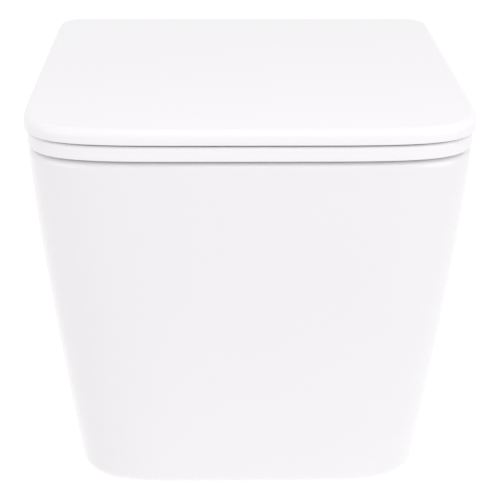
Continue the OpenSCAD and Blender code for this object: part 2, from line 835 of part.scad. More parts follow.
// Compression spring behind the latch plate
spring_turns = 3.5;
spring_steps = 42;
module release_spring(side) {
  coil_r = spring_r - wire_r;
  start = slot_rear + wire_r + 0.05;
  rise = latch_rear - slot_rear - 2 * wire_r - 0.1;
  outlines = [for (i = [0 : spring_steps]) let (s = i / spring_steps, t = 360 * spring_turns * s)
    [for (k = [0 : 5]) let (w = 60 * k, r = coil_r + wire_r * cos(w))
      [r * cos(t), start + rise * s - wire_r * sin(w), latch_z + r * sin(t)]]];
  color("silver") at_hinge(side) loft(outlines);
}

hinge_edge = post_spacing / 2 + hinge_w / 2;
hinge_inner = post_spacing / 2 - hinge_w / 2;
ring_lug_in = hinge_edge + side_gap;
ring_lug_out = ring_lug_in + lug_w;
lid_lug_out = hinge_inner - side_gap;
lid_lug_in = lid_lug_out - lug_w;
rotor_r = 2;
rotor_length = 9;
lug_skin = 1.5;

// Damper housing in a hinge block, with a key and a blind bore for its rotor
module damper_housing(mouth, end) {
  way = mouth > end ? 1 : -1;
  color("dimgray") difference() {
    union() {
      bar_x(mouth, end, axis_y, axis_z, damper_r);
      box([min(mouth, end), axis_y - key_half, axis_z + damper_r - key_h],
          [max(mouth, end), axis_y + key_half, axis_z + damper_r + key_h]);
    }
    bar_x(mouth + way, mouth - way * rotor_length, axis_y, axis_z, rotor_r + fit_gap);
  }
}

// Shaft of a damper: a round rotor in the housing and two flats in the lug
module damper_shaft(mouth, lug_near, lug_far) {
  way = lug_far > mouth ? 1 : -1;
  color("silver") union() {
    bar_x(mouth - way * (rotor_length - 0.5), lug_near, axis_y, axis_z, rotor_r);
    shaft_flats(lug_near, lug_far, 0);
  }
}

module shaft_flats(x0, x1, gap) {
  intersection() {
    bar_x(x0, x1, axis_y, axis_z, shaft_r + gap);
    box([min(x0, x1), axis_y - shaft_r - 1, axis_z - shaft_r * 0.7 - gap],
        [max(x0, x1), axis_y + shaft_r + 1, axis_z + shaft_r * 0.7 + gap]);
  }
}

module ring_damper() {
  damper_housing(-hinge_edge + laid_gap, -hinge_edge + damper_length - laid_gap);
}

module ring_damper_shaft() {
  damper_shaft(-hinge_edge + laid_gap, -ring_lug_in - laid_gap, -ring_lug_out + lug_skin);
}

module lid_damper() {
  damper_housing(hinge_inner + laid_gap, hinge_inner + damper_length - laid_gap);
}

module lid_damper_shaft() {
  damper_shaft(hinge_inner + laid_gap, lid_lug_out - laid_gap, lid_lug_in + lug_skin);
}

pin_depth = hinge_w - damper_length - pin_spare - laid_gap;

module ring_pin() {
  color("silver") bar_x(hinge_edge - pin_depth, ring_lug_out - lug_skin, axis_y, axis_z, pin_r);
}

module lid_pin() {
  color("silver") bar_x(-hinge_inner - pin_depth, -lid_lug_in - lug_skin, axis_y, axis_z, pin_r);
}

// Outline of the seat ring at the height z, moved inwards by inset
function ring_outline(z, inset) = at_height(
  plan(ring_half - inset, ring_rear - inset, ring_front + inset, nose_length, rear_round - inset), z);

ring_lower_edge = 1.2;
lid_lower_edge = 0.8;

// Outline of the seat opening at the height z, opened out by flare
function opening_outline(z, flare) = at_height(
  oval(opening_width / 2 + flare, -opening_back + flare, ring_front + opening_front - flare, opening_power),
  z);

module ring_body() {
  r = ring_round;
  e = ring_lower_edge;
  edge = [for (i = [0 : 3]) let (t = 30 * i) ring_outline(ring_top - r * (1 - sin(t)), r * (1 - cos(t)))];
  lip = [for (i = [0 : 3]) let (t = 30 * i) opening_outline(ring_top - r * (1 - sin(t)), r * (1 - cos(t)))];
  difference() {
    loft(concat([ring_outline(ring_z, e), ring_outline(ring_z + e, 0)], edge));
    loft(concat(
      [opening_outline(ring_z - cut, e), opening_outline(ring_z, e), opening_outline(ring_z + e, 0)],
      lip,
      [opening_outline(ring_top + cut, r)]
    ));
  }
}

notch_front = axis_y - body_front - button_travel - 1.8;
ring_buffer_x = (mouth_half + mouth_round + pan_width / 2 - rim_round) / 2;
ring_buffer_seat = 0.6;

module seat_ring() {
  lug_bottom = axis_z - barrel_r;
  color(plastic_colour) difference() {
    union() {
      difference() {
        ring_body();
        for (side = [-1, 1]) on_side(side) {
          // Room for the hinge block and its button, and for the lid's lug
          box([lid_lug_out - 0.2, notch_front, ring_z - cut],
              [ring_lug_in - 0.2, ring_rear + cut, ring_top + cut]);
          box([lid_lug_in - side_gap, axis_y - barrel_r - 2, ring_z - cut],
              [lid_lug_out, ring_rear + cut, ring_top + cut]);
        }
      }
      for (side = [-1, 1]) on_side(side) {
        bar_x(ring_lug_in, ring_lug_out, axis_y, axis_z, barrel_r);
        box([ring_lug_in, axis_y - barrel_r - 6, lug_bottom], [ring_lug_out, axis_y, axis_z + 2]);
      }
    }
    shaft_flats(-ring_lug_in + cut, -ring_lug_out + 1, fit_gap);
    bar_x(ring_lug_in - cut, ring_lug_out - 1, axis_y, axis_z, pin_r + fit_gap);
    for (side = [-1, 1]) on_side(side) for (y = [-rear_ring_buffer, -front_ring_buffer]) {
      half_w = ring_buffer_w / 2 + laid_gap;
      half_l = ring_buffer_l / 2 + laid_gap;
      box([ring_buffer_x - half_w, y - half_l, ring_z - cut],
          [ring_buffer_x + half_w, y + half_l, ring_z + ring_buffer_seat]);
      translate([ring_buffer_x, y, ring_z - cut])
        cylinder(r = peg_r + fit_gap, h = cut + ring_buffer_seat + peg_h + laid_gap);
    }
  }
}

// Buffer under the ring that rests on the rim
module ring_buffer(side, back) {
  color("gainsboro") translate([side * ring_buffer_x, -back, 0]) union() {
    translate([0, 0, rim_height + laid_gap]) linear_extrude(ring_gap + ring_buffer_seat - laid_gap)
      square([ring_buffer_w, ring_buffer_l], center = true);
    translate([0, 0, ring_z]) cylinder(r = peg_r, h = ring_buffer_seat + peg_h);
  }
}

// Outline of the lid at the height z, moved inwards by inset
function lid_outline(z, inset) = at_height(
  plan(lid_half - inset, lid_rear - inset, lid_front + inset, nose_length - inset, rear_round - inset),
  z);

module lid_shell() {
  r = lid_round;
  inner = [lid_outline(lid_under, lid_wall + 3), lid_outline(lid_under - 2, lid_wall),
    lid_outline(lid_z, lid_wall)];
  outer = [lid_outline(lid_z, lid_lower_edge), lid_outline(lid_z + lid_lower_edge, 0)];
  edge = [for (i = [0 : 5]) let (t = 18 * i) lid_outline(lid_top - r * (1 - sin(t)), r * (1 - cos(t)))];
  loft(concat(inner, outer, edge));
}

lid_buffer_x = lid_half - lid_buffer_inset;
lid_flat_y = axis_y - 3;
barrel_gap = 0.4;
boss_wall = 2;
lid_boss_z = ring_top + laid_gap + lid_buffer_h;

module lid() {
  color(plastic_colour) difference() {
    union() {
      difference() {
        lid_shell();
        for (side = [-1, 1]) on_side(side) {
          bar_x(lid_lug_in - side_gap, ring_lug_out + side_gap, axis_y, axis_z, barrel_r + barrel_gap);
          box([lid_lug_in - side_gap, lid_flat_y, lid_z - cut],
              [ring_lug_out + side_gap, lid_rear + cut, lid_top + cut]);
        }
      }
      for (side = [-1, 1]) on_side(side) {
        bar_x(lid_lug_in, lid_lug_out, axis_y, axis_z, barrel_r);
        box([lid_lug_in, axis_y - barrel_r - 3, axis_z],
            [lid_lug_out, lid_flat_y, lid_under + lid_skin / 2]);
        for (y = [-rear_lid_buffer, -front_lid_buffer]) translate([lid_buffer_x, y, lid_boss_z])
          cylinder(r = lid_buffer_r + boss_wall, h = lid_under + lid_skin / 2 - lid_boss_z);
      }
    }
    shaft_flats(lid_lug_out + cut, lid_lug_in + 1, fit_gap);
    bar_x(-lid_lug_out - cut, -lid_lug_in - 1, axis_y, axis_z, pin_r + fit_gap);
    for (side = [-1, 1]) on_side(side) for (y = [-rear_lid_buffer, -front_lid_buffer])
      translate([lid_buffer_x, y, lid_boss_z - cut])
        cylinder(r = peg_r + fit_gap, h = peg_h + cut + laid_gap);
  }
}

// Buffer under the lid that rests on the ring
module lid_buffer(side, back) {
  color("gainsboro") translate([side * lid_buffer_x, -back, ring_top + laid_gap]) union() {
    cylinder(r = lid_buffer_r, h = lid_buffer_h);
    translate([0, 0, lid_buffer_h - 0.5]) cylinder(r = peg_r, h = peg_h + 0.5);
  }
}

pan_skirt();
pan_deck();
pan_bowl();
pan_trap();
pan_horn();
pan_inlet();
fixing_block(-1);  // fixing_block_left
fixing_block(1);  // fixing_block_right
fixing_washer(-1);  // fixing_washer_left
fixing_washer(1);  // fixing_washer_right
fixing_nut(-1);  // fixing_nut_left
fixing_nut(1);  // fixing_nut_right
clamp_screw(-1);  // clamp_screw_left
clamp_screw(1);  // clamp_screw_right
side_bush(-1);  // side_bush_left
side_bush(1);  // side_bush_right
side_cap(-1);  // side_cap_left
side_cap(1);  // side_cap_right
deck_gasket(-1);  // deck_gasket_left
deck_gasket(1);  // deck_gasket_right
base_disc(-1);  // base_disc_left
base_disc(1);  // base_disc_right
hinge_post(-1);  // hinge_post_left
hinge_post(1);  // hinge_post_right
expansion_bush(-1);  // expansion_bush_left
expansion_bush(1);  // expansion_bush_right
expansion_nut(-1);  // expansion_nut_left
expansion_nut(1);  // expansion_nut_right
hinge_block(-1);  // hinge_block_left
hinge_block(1);  // hinge_block_right
release_button(-1);  // release_button_left
release_button(1);  // release_button_right
release_spring(-1);  // release_spring_left
release_spring(1);  // release_spring_right
ring_damper();
ring_damper_shaft();
ring_pin();
lid_damper();
lid_damper_shaft();
lid_pin();
seat_ring();
ring_buffer(-1, front_ring_buffer);  // ring_buffer_front_left
ring_buffer(1, front_ring_buffer);  // ring_buffer_front_right
ring_buffer(-1, rear_ring_buffer);  // ring_buffer_rear_left
ring_buffer(1, rear_ring_buffer);  // ring_buffer_rear_right
lid();
lid_buffer(-1, front_lid_buffer);  // lid_buffer_front_left
lid_buffer(1, front_lid_buffer);  // lid_buffer_front_right
lid_buffer(-1, rear_lid_buffer);  // lid_buffer_rear_left
lid_buffer(1, rear_lid_buffer);  // lid_buffer_rear_right
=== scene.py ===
"""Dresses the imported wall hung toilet: glazed pan, seat ring, lid, finishes of the fittings and studio."""

import json
import math

import bmesh
import bpy
from mathutils import Matrix, Vector


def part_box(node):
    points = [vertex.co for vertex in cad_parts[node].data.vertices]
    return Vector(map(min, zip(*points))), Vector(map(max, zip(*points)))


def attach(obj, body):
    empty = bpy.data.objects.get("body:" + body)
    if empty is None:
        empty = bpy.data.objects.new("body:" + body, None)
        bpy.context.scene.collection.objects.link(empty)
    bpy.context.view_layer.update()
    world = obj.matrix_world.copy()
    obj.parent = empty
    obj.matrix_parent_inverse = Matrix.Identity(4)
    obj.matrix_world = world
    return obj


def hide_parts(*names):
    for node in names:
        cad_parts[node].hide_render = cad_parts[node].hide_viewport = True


bl_info = {
    "name": "Wall Hung Toilet",
    "version": (1, 0, 0),
    "blender": (4, 5, 0),
    "location": "3D View > Sidebar > Toilet",
    "description": "Models the pan, the seat and the lid of a wall hung toilet around its packed frame",
    "category": "Object",
}

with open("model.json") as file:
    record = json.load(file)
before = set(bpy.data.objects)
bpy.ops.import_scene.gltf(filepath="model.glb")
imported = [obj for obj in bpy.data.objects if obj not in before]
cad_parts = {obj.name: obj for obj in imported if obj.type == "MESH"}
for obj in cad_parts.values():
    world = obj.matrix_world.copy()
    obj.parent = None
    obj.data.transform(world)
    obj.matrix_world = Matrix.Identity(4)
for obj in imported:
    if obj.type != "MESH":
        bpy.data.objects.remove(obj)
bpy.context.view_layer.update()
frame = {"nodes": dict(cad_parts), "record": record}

# Shapes are modelled in millimetres and brought to metres when they are finished.
# The wall studs are at the height 0 and the wall is at y = 0.
MM = 0.001
STUD_Z = 0
RIM_Z = 92
FOOT_Z = -222

# How close a vertex has to be to a height or a line to count as on it, and how close two count as one
NEAR = 0.01
DOUBLE = 0.001

# Segments of a rounded corner in plan, sides of a pipe and of a pin
CORNER = 36
PIPE_SIDES = 48
PIN_SIDES = 32


def mm(value):
    """A length in metres, as the properties hold it, in millimetres."""
    return value / MM


def wide(node):
    """Width of a CAD node along X, in metres."""
    low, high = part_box(node)
    return round(high[0] - low[0], 4)


# Working with Blender's tools


def free():
    """Goes to object mode with nothing selected."""
    if bpy.context.mode != "OBJECT":
        bpy.ops.object.mode_set(mode="OBJECT")
    bpy.ops.object.select_all(action="DESELECT")


def take(o):
    """Selects one object and nothing else, and makes it active."""
    free()
    o.select_set(True)
    bpy.context.view_layer.objects.active = o


def edit(o):
    """Goes to edit mode on one object with nothing selected."""
    take(o)
    bpy.ops.object.mode_set(mode="EDIT")
    bpy.ops.mesh.select_mode(type="VERT")
    bpy.ops.mesh.select_all(action="DESELECT")


def pick(o, test):
    """Selects the vertices whose place passes the test, and the edges and faces between them."""
    bpy.ops.mesh.select_all(action="DESELECT")
    mesh = bmesh.from_edit_mesh(o.data)
    for v in mesh.verts:
        v.select_set(test(v.co))
    mesh.select_flush(True)
    bmesh.update_edit_mesh(o.data)


def pick_edges(o, test):
    """Selects the edges that pass the test."""
    bpy.ops.mesh.select_mode(type="EDGE")
    bpy.ops.mesh.select_all(action="DESELECT")
    mesh = bmesh.from_edit_mesh(o.data)
    mesh.normal_update()
    for e in mesh.edges:
        e.select_set(test(e))
    if not any(e.select for e in mesh.edges):
        raise RuntimeError(o.name + " has no edge that passes the test")
    bmesh.update_edit_mesh(o.data)


def at(z):
    """Test for a place at the height z."""
    return lambda p: abs(p.z - z) < NEAR


def blank(name):
    """An empty mesh object."""
    free()
    bpy.ops.object.add(type="MESH")
    o = bpy.context.object
    o.name = o.data.name = name
    return o


def settle():
    """Applies the active object's place, turn and scale to its mesh, and returns the object."""
    bpy.ops.object.transform_apply(location=True, rotation=True, scale=True)
    return bpy.context.object


def round_edges(o, test, width, segments, profile=0.5):
    """Rounds the edges that pass the test. A profile above 0.5 is fuller than round."""
    edit(o)
    pick_edges(o, test)
    bpy.ops.mesh.bevel(
        offset=width, offset_type="OFFSET", segments=segments, profile=profile, affect="EDGES"
    )
    free()


def outward(o):
    """Merges doubles and turns every face outwards."""
    edit(o)
    bpy.ops.mesh.select_all(action="SELECT")
    bpy.ops.mesh.remove_doubles(threshold=DOUBLE)
    bpy.ops.mesh.normals_make_consistent(inside=False)
    free()


def combine(o, tool, how):
    """Applies a Boolean with the tool to the object, and drops the tool."""
    take(o)
    bpy.ops.object.modifier_add(type="BOOLEAN")
    step = o.modifiers[-1]
    step.operation, step.object, step.solver = how, tool, "EXACT"
    bpy.ops.object.modifier_apply(modifier=step.name)
    if not o.data.polygons:
        raise RuntimeError(o.name + " has lost its faces in a Boolean")
    bpy.data.objects.remove(tool)


def add(o, *tools):
    """Joins each tool to the object."""
    for tool in tools:
        combine(o, tool, "UNION")


def cut(o, *tools):
    """Cuts each tool away from the object."""
    for tool in tools:
        combine(o, tool, "DIFFERENCE")


# Outlines and solids


def bevel_profile(power):
    """Bevel profile whose curve is the superellipse of that power: 2 is round."""
    return 2 ** (-2 / power)


def round_corners(offset, segments, profile=0.5):
    """Rounds the selected corners of an outline."""
    bpy.ops.mesh.bevel(
        offset=offset, offset_type="OFFSET", segments=segments, profile=profile, affect="VERTICES"
    )


def outline(o, z, half, rear, front, nose, power, segments, rear_round=0):
    """Adds one outline as a face at the height z. With no nose it is an oval between front and rear."""
    bpy.ops.mesh.primitive_plane_add(size=2, location=(0, 0, z))
    here = at(z)
    pick(o, here if nose is None else lambda p: here(p) and p.y < 0)
    round_corners(1, segments, bevel_profile(power))
    pick(o, here)
    bpy.ops.mesh.remove_doubles(threshold=0.0001)
    pick(o, here)
    if nose is None:
        bpy.ops.transform.resize(value=(half, (rear - front) / 2, 1), center_override=(0, 0, z))
        bpy.ops.transform.translate(value=(0, (rear + front) / 2, 0))
        return
    bpy.ops.transform.resize(value=(half, 1, 1), center_override=(0, 0, z))
    pick(o, lambda p: here(p) and p.y < NEAR)
    bpy.ops.transform.resize(value=(1, nose, 1), center_override=(0, 0, z))
    bpy.ops.transform.translate(value=(0, front + nose, 0))
    pick(o, lambda p: here(p) and abs(p.y - 1) < NEAR)
    bpy.ops.transform.translate(value=(0, rear - 1, 0))
    if rear_round:
        round_corners(rear_round, 10)
    pick(o, here)


def stack(name, levels, power, segments=CORNER, rear_round=0):
    """Solid through outlines of one power. Each level is (z, half, rear, front, nose).

    The lowest outline is extruded up, and fitted to each level on the way.
    """
    o = blank(name)
    edit(o)
    outline(o, *levels[0], power, segments, rear_round)
    for was, now in zip(levels, levels[1:]):
        old_z, old_half, old_rear, old_front, old_nose = was
        z, half, rear, front, nose = now
        start, end = old_front + old_nose, front + nose
        bpy.ops.mesh.extrude_region_move(TRANSFORM_OT_translate={"value": (0, 0, z - old_z)})
        bpy.ops.transform.resize(value=(half / old_half, 1, 1), center_override=(0, 0, z))
        here = at(z)
        pick(o, lambda p: here(p) and p.y < start + NEAR)
        bpy.ops.transform.resize(value=(1, nose / old_nose, 1), center_override=(0, start, z))
        bpy.ops.transform.translate(value=(0, end - start, 0))
        pick(o, lambda p: here(p) and p.y > max(start, end) + NEAR)
        bpy.ops.transform.translate(value=(0, rear - old_rear, 0))
        pick(o, here)
    outward(o)
    return o


def skin(name, levels, segments=18):
    """Solid through ovals, bridged from each to the next. Each level is (z, half, rear, front, power)."""
    o = blank(name)
    edit(o)
    for z, half, rear, front, power in levels:
        outline(o, z, half, rear, front, None, power, segments)
        bpy.ops.mesh.delete(type="ONLY_FACE")
    for was, now in zip(levels, levels[1:]):
        low, high = at(was[0]), at(now[0])
        pick(o, lambda p: low(p) or high(p))
        bpy.ops.mesh.bridge_edge_loops()
    for level in (levels[0], levels[-1]):
        pick(o, at(level[0]))
        bpy.ops.mesh.edge_face_add()
    outward(o)
    return o


def bar(start, end, r, sides=64):
    """Round bar between two points."""
    free()
    start, end = Vector(start), Vector(end)
    way = end - start
    turn = way.to_track_quat("Z", "Y").to_euler()
    bpy.ops.mesh.primitive_cylinder_add(
        vertices=sides, radius=r, depth=way.length, location=(start + end) / 2, rotation=turn
    )
    return settle()


def block(low, high, soft=0):
    """Block between two corners, with its edges rounded if soft is given."""
    free()
    low, high = Vector(low), Vector(high)
    bpy.ops.mesh.primitive_cube_add(size=1, location=(low + high) / 2)
    bpy.ops.transform.resize(value=tuple(high - low))
    o = settle()
    if soft:
        round_edges(o, lambda e: True, soft, 3)
    return o


def finish(o, name, material, slot, body, *nodes):
    """Brings a piece to metres, smooths it, gives it its finish and lets it stand for its CAD nodes."""
    outward(o)
    take(o)
    bpy.ops.transform.resize(value=(MM, MM, MM), center_override=(0, 0, 0))
    settle()
    bpy.ops.object.shade_smooth_by_angle(angle=math.radians(35))
    bpy.ops.object.modifier_add(type="WEIGHTED_NORMAL")
    step = o.modifiers[-1]
    step.keep_sharp, step.weight = True, 60
    bpy.ops.object.modifier_apply(modifier=step.name)
    o.name = o.data.name = name
    o.data.materials.clear()
    o.data.materials.append(bpy.data.materials[material])
    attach(o, body)
    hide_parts(*nodes)


# Colours and finishes


def linear(code):
    """Linear colour of an sRGB hex value."""
    out = []
    for i in (0, 2, 4):
        c = int(code[i : i + 2], 16) / 255
        out.append(c / 12.92 if c <= 0.04045 else ((c + 0.055) / 1.055) ** 2.4)
    return tuple(out)


def put(tree, kind, settings=None, links=None):
    """Adds a node, sets its properties and sockets, and links its sockets."""
    n = tree.nodes.new(kind)
    for key, value in (settings or {}).items():
        if isinstance(key, int) or key in n.inputs:
            n.inputs[key].default_value = value
        else:
            setattr(n, key, value)
    for key, source in (links or {}).items():
        tree.links.new(source, n.inputs[key])
    return n


class PanSizes(bpy.types.PropertyGroup):
    """Sizes of the glazed pan."""

    width: bpy.props.FloatProperty(
        name="Width", description="Width at the rim", default=wide("pan_deck"), unit="LENGTH"
    )
    length: bpy.props.FloatProperty(
        name="Length", description="How far the pan stands out from the wall", default=0.477, unit="LENGTH"
    )
    foot_width: bpy.props.FloatProperty(
        name="Foot width", description="Width of the underside", default=0.301, unit="LENGTH"
    )
    setback: bpy.props.FloatProperty(
        name="Setback", description="How far the front steps back at the foot", default=0.063, unit="LENGTH"
    )
    nose: bpy.props.FloatProperty(
        name="Nose", description="Length of the curved nose in plan", default=0.155, unit="LENGTH"
    )
    power: bpy.props.FloatProperty(
        name="Squareness", description="Squareness of the nose: 2 is an ellipse", default=5.6
    )
    rim_round: bpy.props.FloatProperty(
        name="Rim rounding", description="Rounding of the rim's outer edge", default=0.009, unit="LENGTH"
    )
    foot_round: bpy.props.FloatProperty(
        name="Foot rounding", description="Rounding of the lower edge", default=0.013, unit="LENGTH"
    )
    mouth: bpy.props.FloatProperty(
        name="Mouth", description="Width of the bowl's mouth", default=0.294, unit="LENGTH"
    )


class SeatSizes(bpy.types.PropertyGroup):
    """Sizes of the seat ring and the lid."""

    ring_width: bpy.props.FloatProperty(
        name="Ring width", description="Width of the seat ring", default=wide("seat_ring"), unit="LENGTH"
    )
    ring_round: bpy.props.FloatProperty(
        name="Ring rounding", description="Rounding of the ring's upper edge", default=0.003, unit="LENGTH"
    )
    opening: bpy.props.FloatProperty(
        name="Opening", description="Width of the seat opening", default=0.228, unit="LENGTH"
    )
    lid_width: bpy.props.FloatProperty(
        name="Lid width", description="Width of the lid", default=wide("lid"), unit="LENGTH"
    )
    lid_round: bpy.props.FloatProperty(
        name="Lid rounding", description="Rounding of the lid's upper edge", default=0.007, unit="LENGTH"
    )


class Finishes(bpy.types.PropertyGroup):
    """Colours of the parts that are seen first."""

    glaze: bpy.props.FloatVectorProperty(
        name="Glaze", description="Colour of the glazed china", subtype="COLOR", default=linear("F1EFF1")
    )
    seat: bpy.props.FloatVectorProperty(
        name="Seat", description="Colour of the ring and the lid", subtype="COLOR", default=linear("F6F4F6")
    )
    buttons: bpy.props.FloatVectorProperty(
        name="Buttons", description="Colour of the release buttons", subtype="COLOR", default=linear("A9ADB2")
    )


def start_material(name):
    """A new material's tree, its shader and the object's coordinates."""
    old = bpy.data.materials.get(name)
    if old:
        bpy.data.materials.remove(old)
    m = bpy.data.materials.new(name)
    m.use_nodes = True
    tree = m.node_tree
    return tree, tree.nodes["Principled BSDF"], put(tree, "ShaderNodeTexCoord").outputs["Object"]


def cloudy(tree, place, size, detail, roughness=0.5):
    """Pattern of soft patches of the given size in millimetres."""
    settings = {"Scale": 1 / (size * MM), "Detail": detail, "Roughness": roughness}
    return put(tree, "ShaderNodeTexNoise", settings, {"Vector": place}).outputs["Fac"]


def between(tree, factor, low, high):
    """Value between low and high by a factor."""
    fit = put(tree, "ShaderNodeMapRange", {"To Min": low, "To Max": high}, {"Value": factor})
    return fit.outputs["Result"]


def tint(tree, shader, place, colour, size, spread, detail=2.0):
    """Base colour that drifts a little lighter and darker over patches of the given size in millimetres."""
    patches = cloudy(tree, place, size, detail)
    low = tuple(c * (1 - spread) for c in colour) + (1,)
    colours = {"data_type": "RGBA", 6: low, 7: tuple(colour) + (1,)}
    mix = put(tree, "ShaderNodeMix", colours, {0: patches})
    tree.links.new(mix.outputs[2], shader.inputs["Base Color"])
    return patches


def rough(tree, shader, source, low, high):
    """Roughness between two values, driven by a pattern."""
    tree.links.new(between(tree, source, low, high), shader.inputs["Roughness"])


def bump(tree, shader, source, depth, strength):
    """Bump of a real depth in millimetres."""
    n = put(tree, "ShaderNodeBump", {"Strength": strength, "Distance": depth * MM}, {"Height": source})
    tree.links.new(n.outputs["Normal"], shader.inputs["Normal"])


def glazed_china(colour):
    """Material of the pan."""
    # Vitreous china under a fired opaque glaze: a hard clear gloss over a white body, with the
    # slow waves of a poured glaze, about 9 mm apart, and patches where it lies a little thicker
    tree, shader, place = start_material("Glazed vitreous china")
    tint(tree, shader, place, colour, 70, 0.012)
    rough(tree, shader, cloudy(tree, place, 28, 2.0), 0.16, 0.24)
    bump(tree, shader, cloudy(tree, place, 9, 1.0), 0.03, 0.6)
    shader.inputs["IOR"].default_value = 1.5
    shader.inputs["Coat Weight"].default_value = 0.9
    shader.inputs["Coat Roughness"].default_value = 0.04
    shader.inputs["Coat IOR"].default_value = 1.5


def moulded_thermoset(colour):
    """Material of the ring and the lid."""
    # Compression moulded thermoset: a dense white with a polished mould finish
    tree, shader, place = start_material("Moulded thermoset")
    tint(tree, shader, place, colour, 90, 0.008)
    rough(tree, shader, cloudy(tree, place, 40, 3.0), 0.15, 0.22)
    bump(tree, shader, cloudy(tree, place, 3, 1.0), 0.008, 0.4)
    shader.inputs["IOR"].default_value = 1.5


def moulded_plastic(name, colour, low, high, grain, depth):
    """Material of a small plastic fitting, with a roughness from low to high."""
    # Injection moulded plastic: even colour and a fine sparked texture from the mould
    tree, shader, place = start_material(name)
    tint(tree, shader, place, colour, 25, 0.02)
    spark = cloudy(tree, place, grain, 4.0, 0.6)
    rough(tree, shader, spark, low, high)
    bump(tree, shader, spark, depth, 0.5)
    shader.inputs["IOR"].default_value = 1.46


def moulded_rubber(name, colour):
    """Material of a gasket, bush or buffer."""
    # Moulded elastomer: matt, with a dusty bloom in patches and a soft grain
    tree, shader, place = start_material(name)
    bloom = tint(tree, shader, place, colour, 8, 0.12, 4.0)
    rough(tree, shader, bloom, 0.62, 0.85)
    bump(tree, shader, cloudy(tree, place, 0.8, 3.0), 0.03, 0.5)
    shader.inputs["IOR"].default_value = 1.52


def turned_metal(name, colour, low, high, pitch, depth):
    """Material of a metal fitting, with a roughness from low to high."""
    # Turned or drawn metal: fine tool marks across the part, drawn coarser than real so that they show,
    # with cloudy patches where hands and plating have dulled it
    tree, shader, place = start_material(name)
    tint(tree, shader, place, colour, 6, 0.08, 3.0)
    bands = {"wave_type": "BANDS", "bands_direction": "DIAGONAL"}
    bands.update({"Scale": 0.5 / (pitch * MM), "Distortion": 0.6})
    marks = put(tree, "ShaderNodeTexWave", bands, {"Vector": place})
    rough(tree, shader, cloudy(tree, place, 5, 4.0), low, high)
    bump(tree, shader, marks.outputs["Fac"], depth, 0.5)
    shader.inputs["Metallic"].default_value = 1.0


# The pan, with the sizes of its solids in millimetres

SIDES = (-1, 1)
PAN_NODES = ("pan_skirt", "pan_deck", "pan_bowl", "pan_trap", "pan_horn", "pan_inlet")

# Play between two faces, and how far a tool reaches past what it cuts
PLAY = 0.1
PAST = 5

# Bends of the side and front lines, where 1 is a straight slope, and the profile of the rim's rounding
SIDE_BEND = 1.25
FRONT_BEND = 1.15
RIM_PROFILE = 0.62

# Thickness of the skirt and of the deck
SKIRT = 10
DECK = 12

# Bowl: its wall, its sump, the ledge under the rim and the mouth
WALL = 10
BOWL_CLEARANCE = 12
SUMP_Z = FOOT_Z + SKIRT + BOWL_CLEARANCE + WALL
SUMP_HALF = 34
SUMP_LENGTH = 70
LEDGE_Z = RIM_Z - 36
LEDGE = 7
LEDGE_STEP = 2
MOUTH_REAR = -112
MOUTH_LAND = 33
MOUTH_ROUND = 7
MOUTH_POWER = 3.2
SIDE_CURVE = 1.7
FRONT_CURVE = 1.6
REAR_FALL = 146
BOWL_STEPS = 24
LIP_STEPS = 8
OVER_RIM = 3

# Trap: the radius of its passage, its bends, and the water seal between dip and weir
PASSAGE = 27.5
BEND = 45
FALL_BEND = 38
SEAL = 50
THROAT_WALL = 13
WEIR_Y = -125
RISE_Y = WEIR_Y - BEND
THROAT_Y = RISE_Y - PASSAGE - THROAT_WALL
DIP_Z = SUMP_Z + PASSAGE
WEIR_Z = SUMP_Z + 3 * PASSAGE + SEAL
TRAP_LEAD = 40
BEND_STEPS = 14
FLOOR_RISE = PASSAGE * 1.5
FLOOR_PULL = PASSAGE * 0.6

# Outlet horn, with the chamber that the trap falls into
OUTLET_Z = -100
OUTLET_R = 51
OUTLET_BORE = 45
OUTLET_RECESS = -8
HORN_END = -50
HORN_STEP = 2
CHAMBER_FRONT = -120

# Flush inlet, channel, slot and hood
INLET_Z = 35
INLET_R = 27.5
INLET_WALL = 8
INLET_RECESS = -15
INLET_END = -60
CHANNEL_R = 19
CHANNEL_STEPS = 8
CHANNEL_ENDS = (MOUTH_REAR - 2, INLET_END - INLET_WALL / 2)
FLUSH_ENDS = (MOUTH_REAR - 1.5, INLET_END + 1)
SLOT_LOW = LEDGE_Z + 4
SLOT_H = 15
SLOT_Z = SLOT_LOW + SLOT_H / 2
SLOT_HALF = 26
HOOD_HALF = SLOT_HALF + 8
HOOD_REACH = 20
HOOD_WALL = 7
HOOD_EDGE = 2
HOOD_SPARE = 0.5

# Lugs: a shelf that rests on each fixing block, and a boss with the hole of the clamp screw
STUD_X = 90
BLOCK_HALF = 20
BLOCK_DEPTH = 45
BLOCK_Z = 18
SHELF_INNER = STUD_X - BLOCK_HALF - 4
SHELF_FRONT = -BLOCK_DEPTH - 6
SHELF_REAR = -1
SHELF_TOP = BLOCK_Z + 12
SHELF_EDGE = 1.5
BOSS_L = 28
BOSS_TOP = SHELF_TOP - 1
CLAMP_Y = -20
SIDE_HOLE_R = 11
CAP_R = 14.1
CAP_T = 2.6

# Holes for the seat's posts
POST_X = 77.5
POST_Y = -67
POST_HOLE_R = 7


def pan_share(z):
    """Share of the pan's height that lies above z."""
    return max((RIM_Z - z) / (RIM_Z - FOOT_Z), 0)


def pan_half(sizes, z):
    """Half width of the pan at the height z."""
    return mm(sizes.width) / 2 - mm(sizes.width - sizes.foot_width) / 2 * pan_share(z) ** SIDE_BEND


def pan_reach(sizes, z):
    """How far the pan reaches from the wall at the height z."""
    return mm(sizes.length) - mm(sizes.setback) * pan_share(z) ** FRONT_BEND


def pan_levels(sizes, low, high, count, inset, rear):
    """Levels of the pan's outside, moved inwards by inset, with its back at rear."""
    levels = []
    for i in range(count + 1):
        z = low + (high - low) * i / count
        half, front = pan_half(sizes, z) - inset, inset - pan_reach(sizes, z)
        levels.append((z, half, rear, front, mm(sizes.nose) - inset))
    return levels


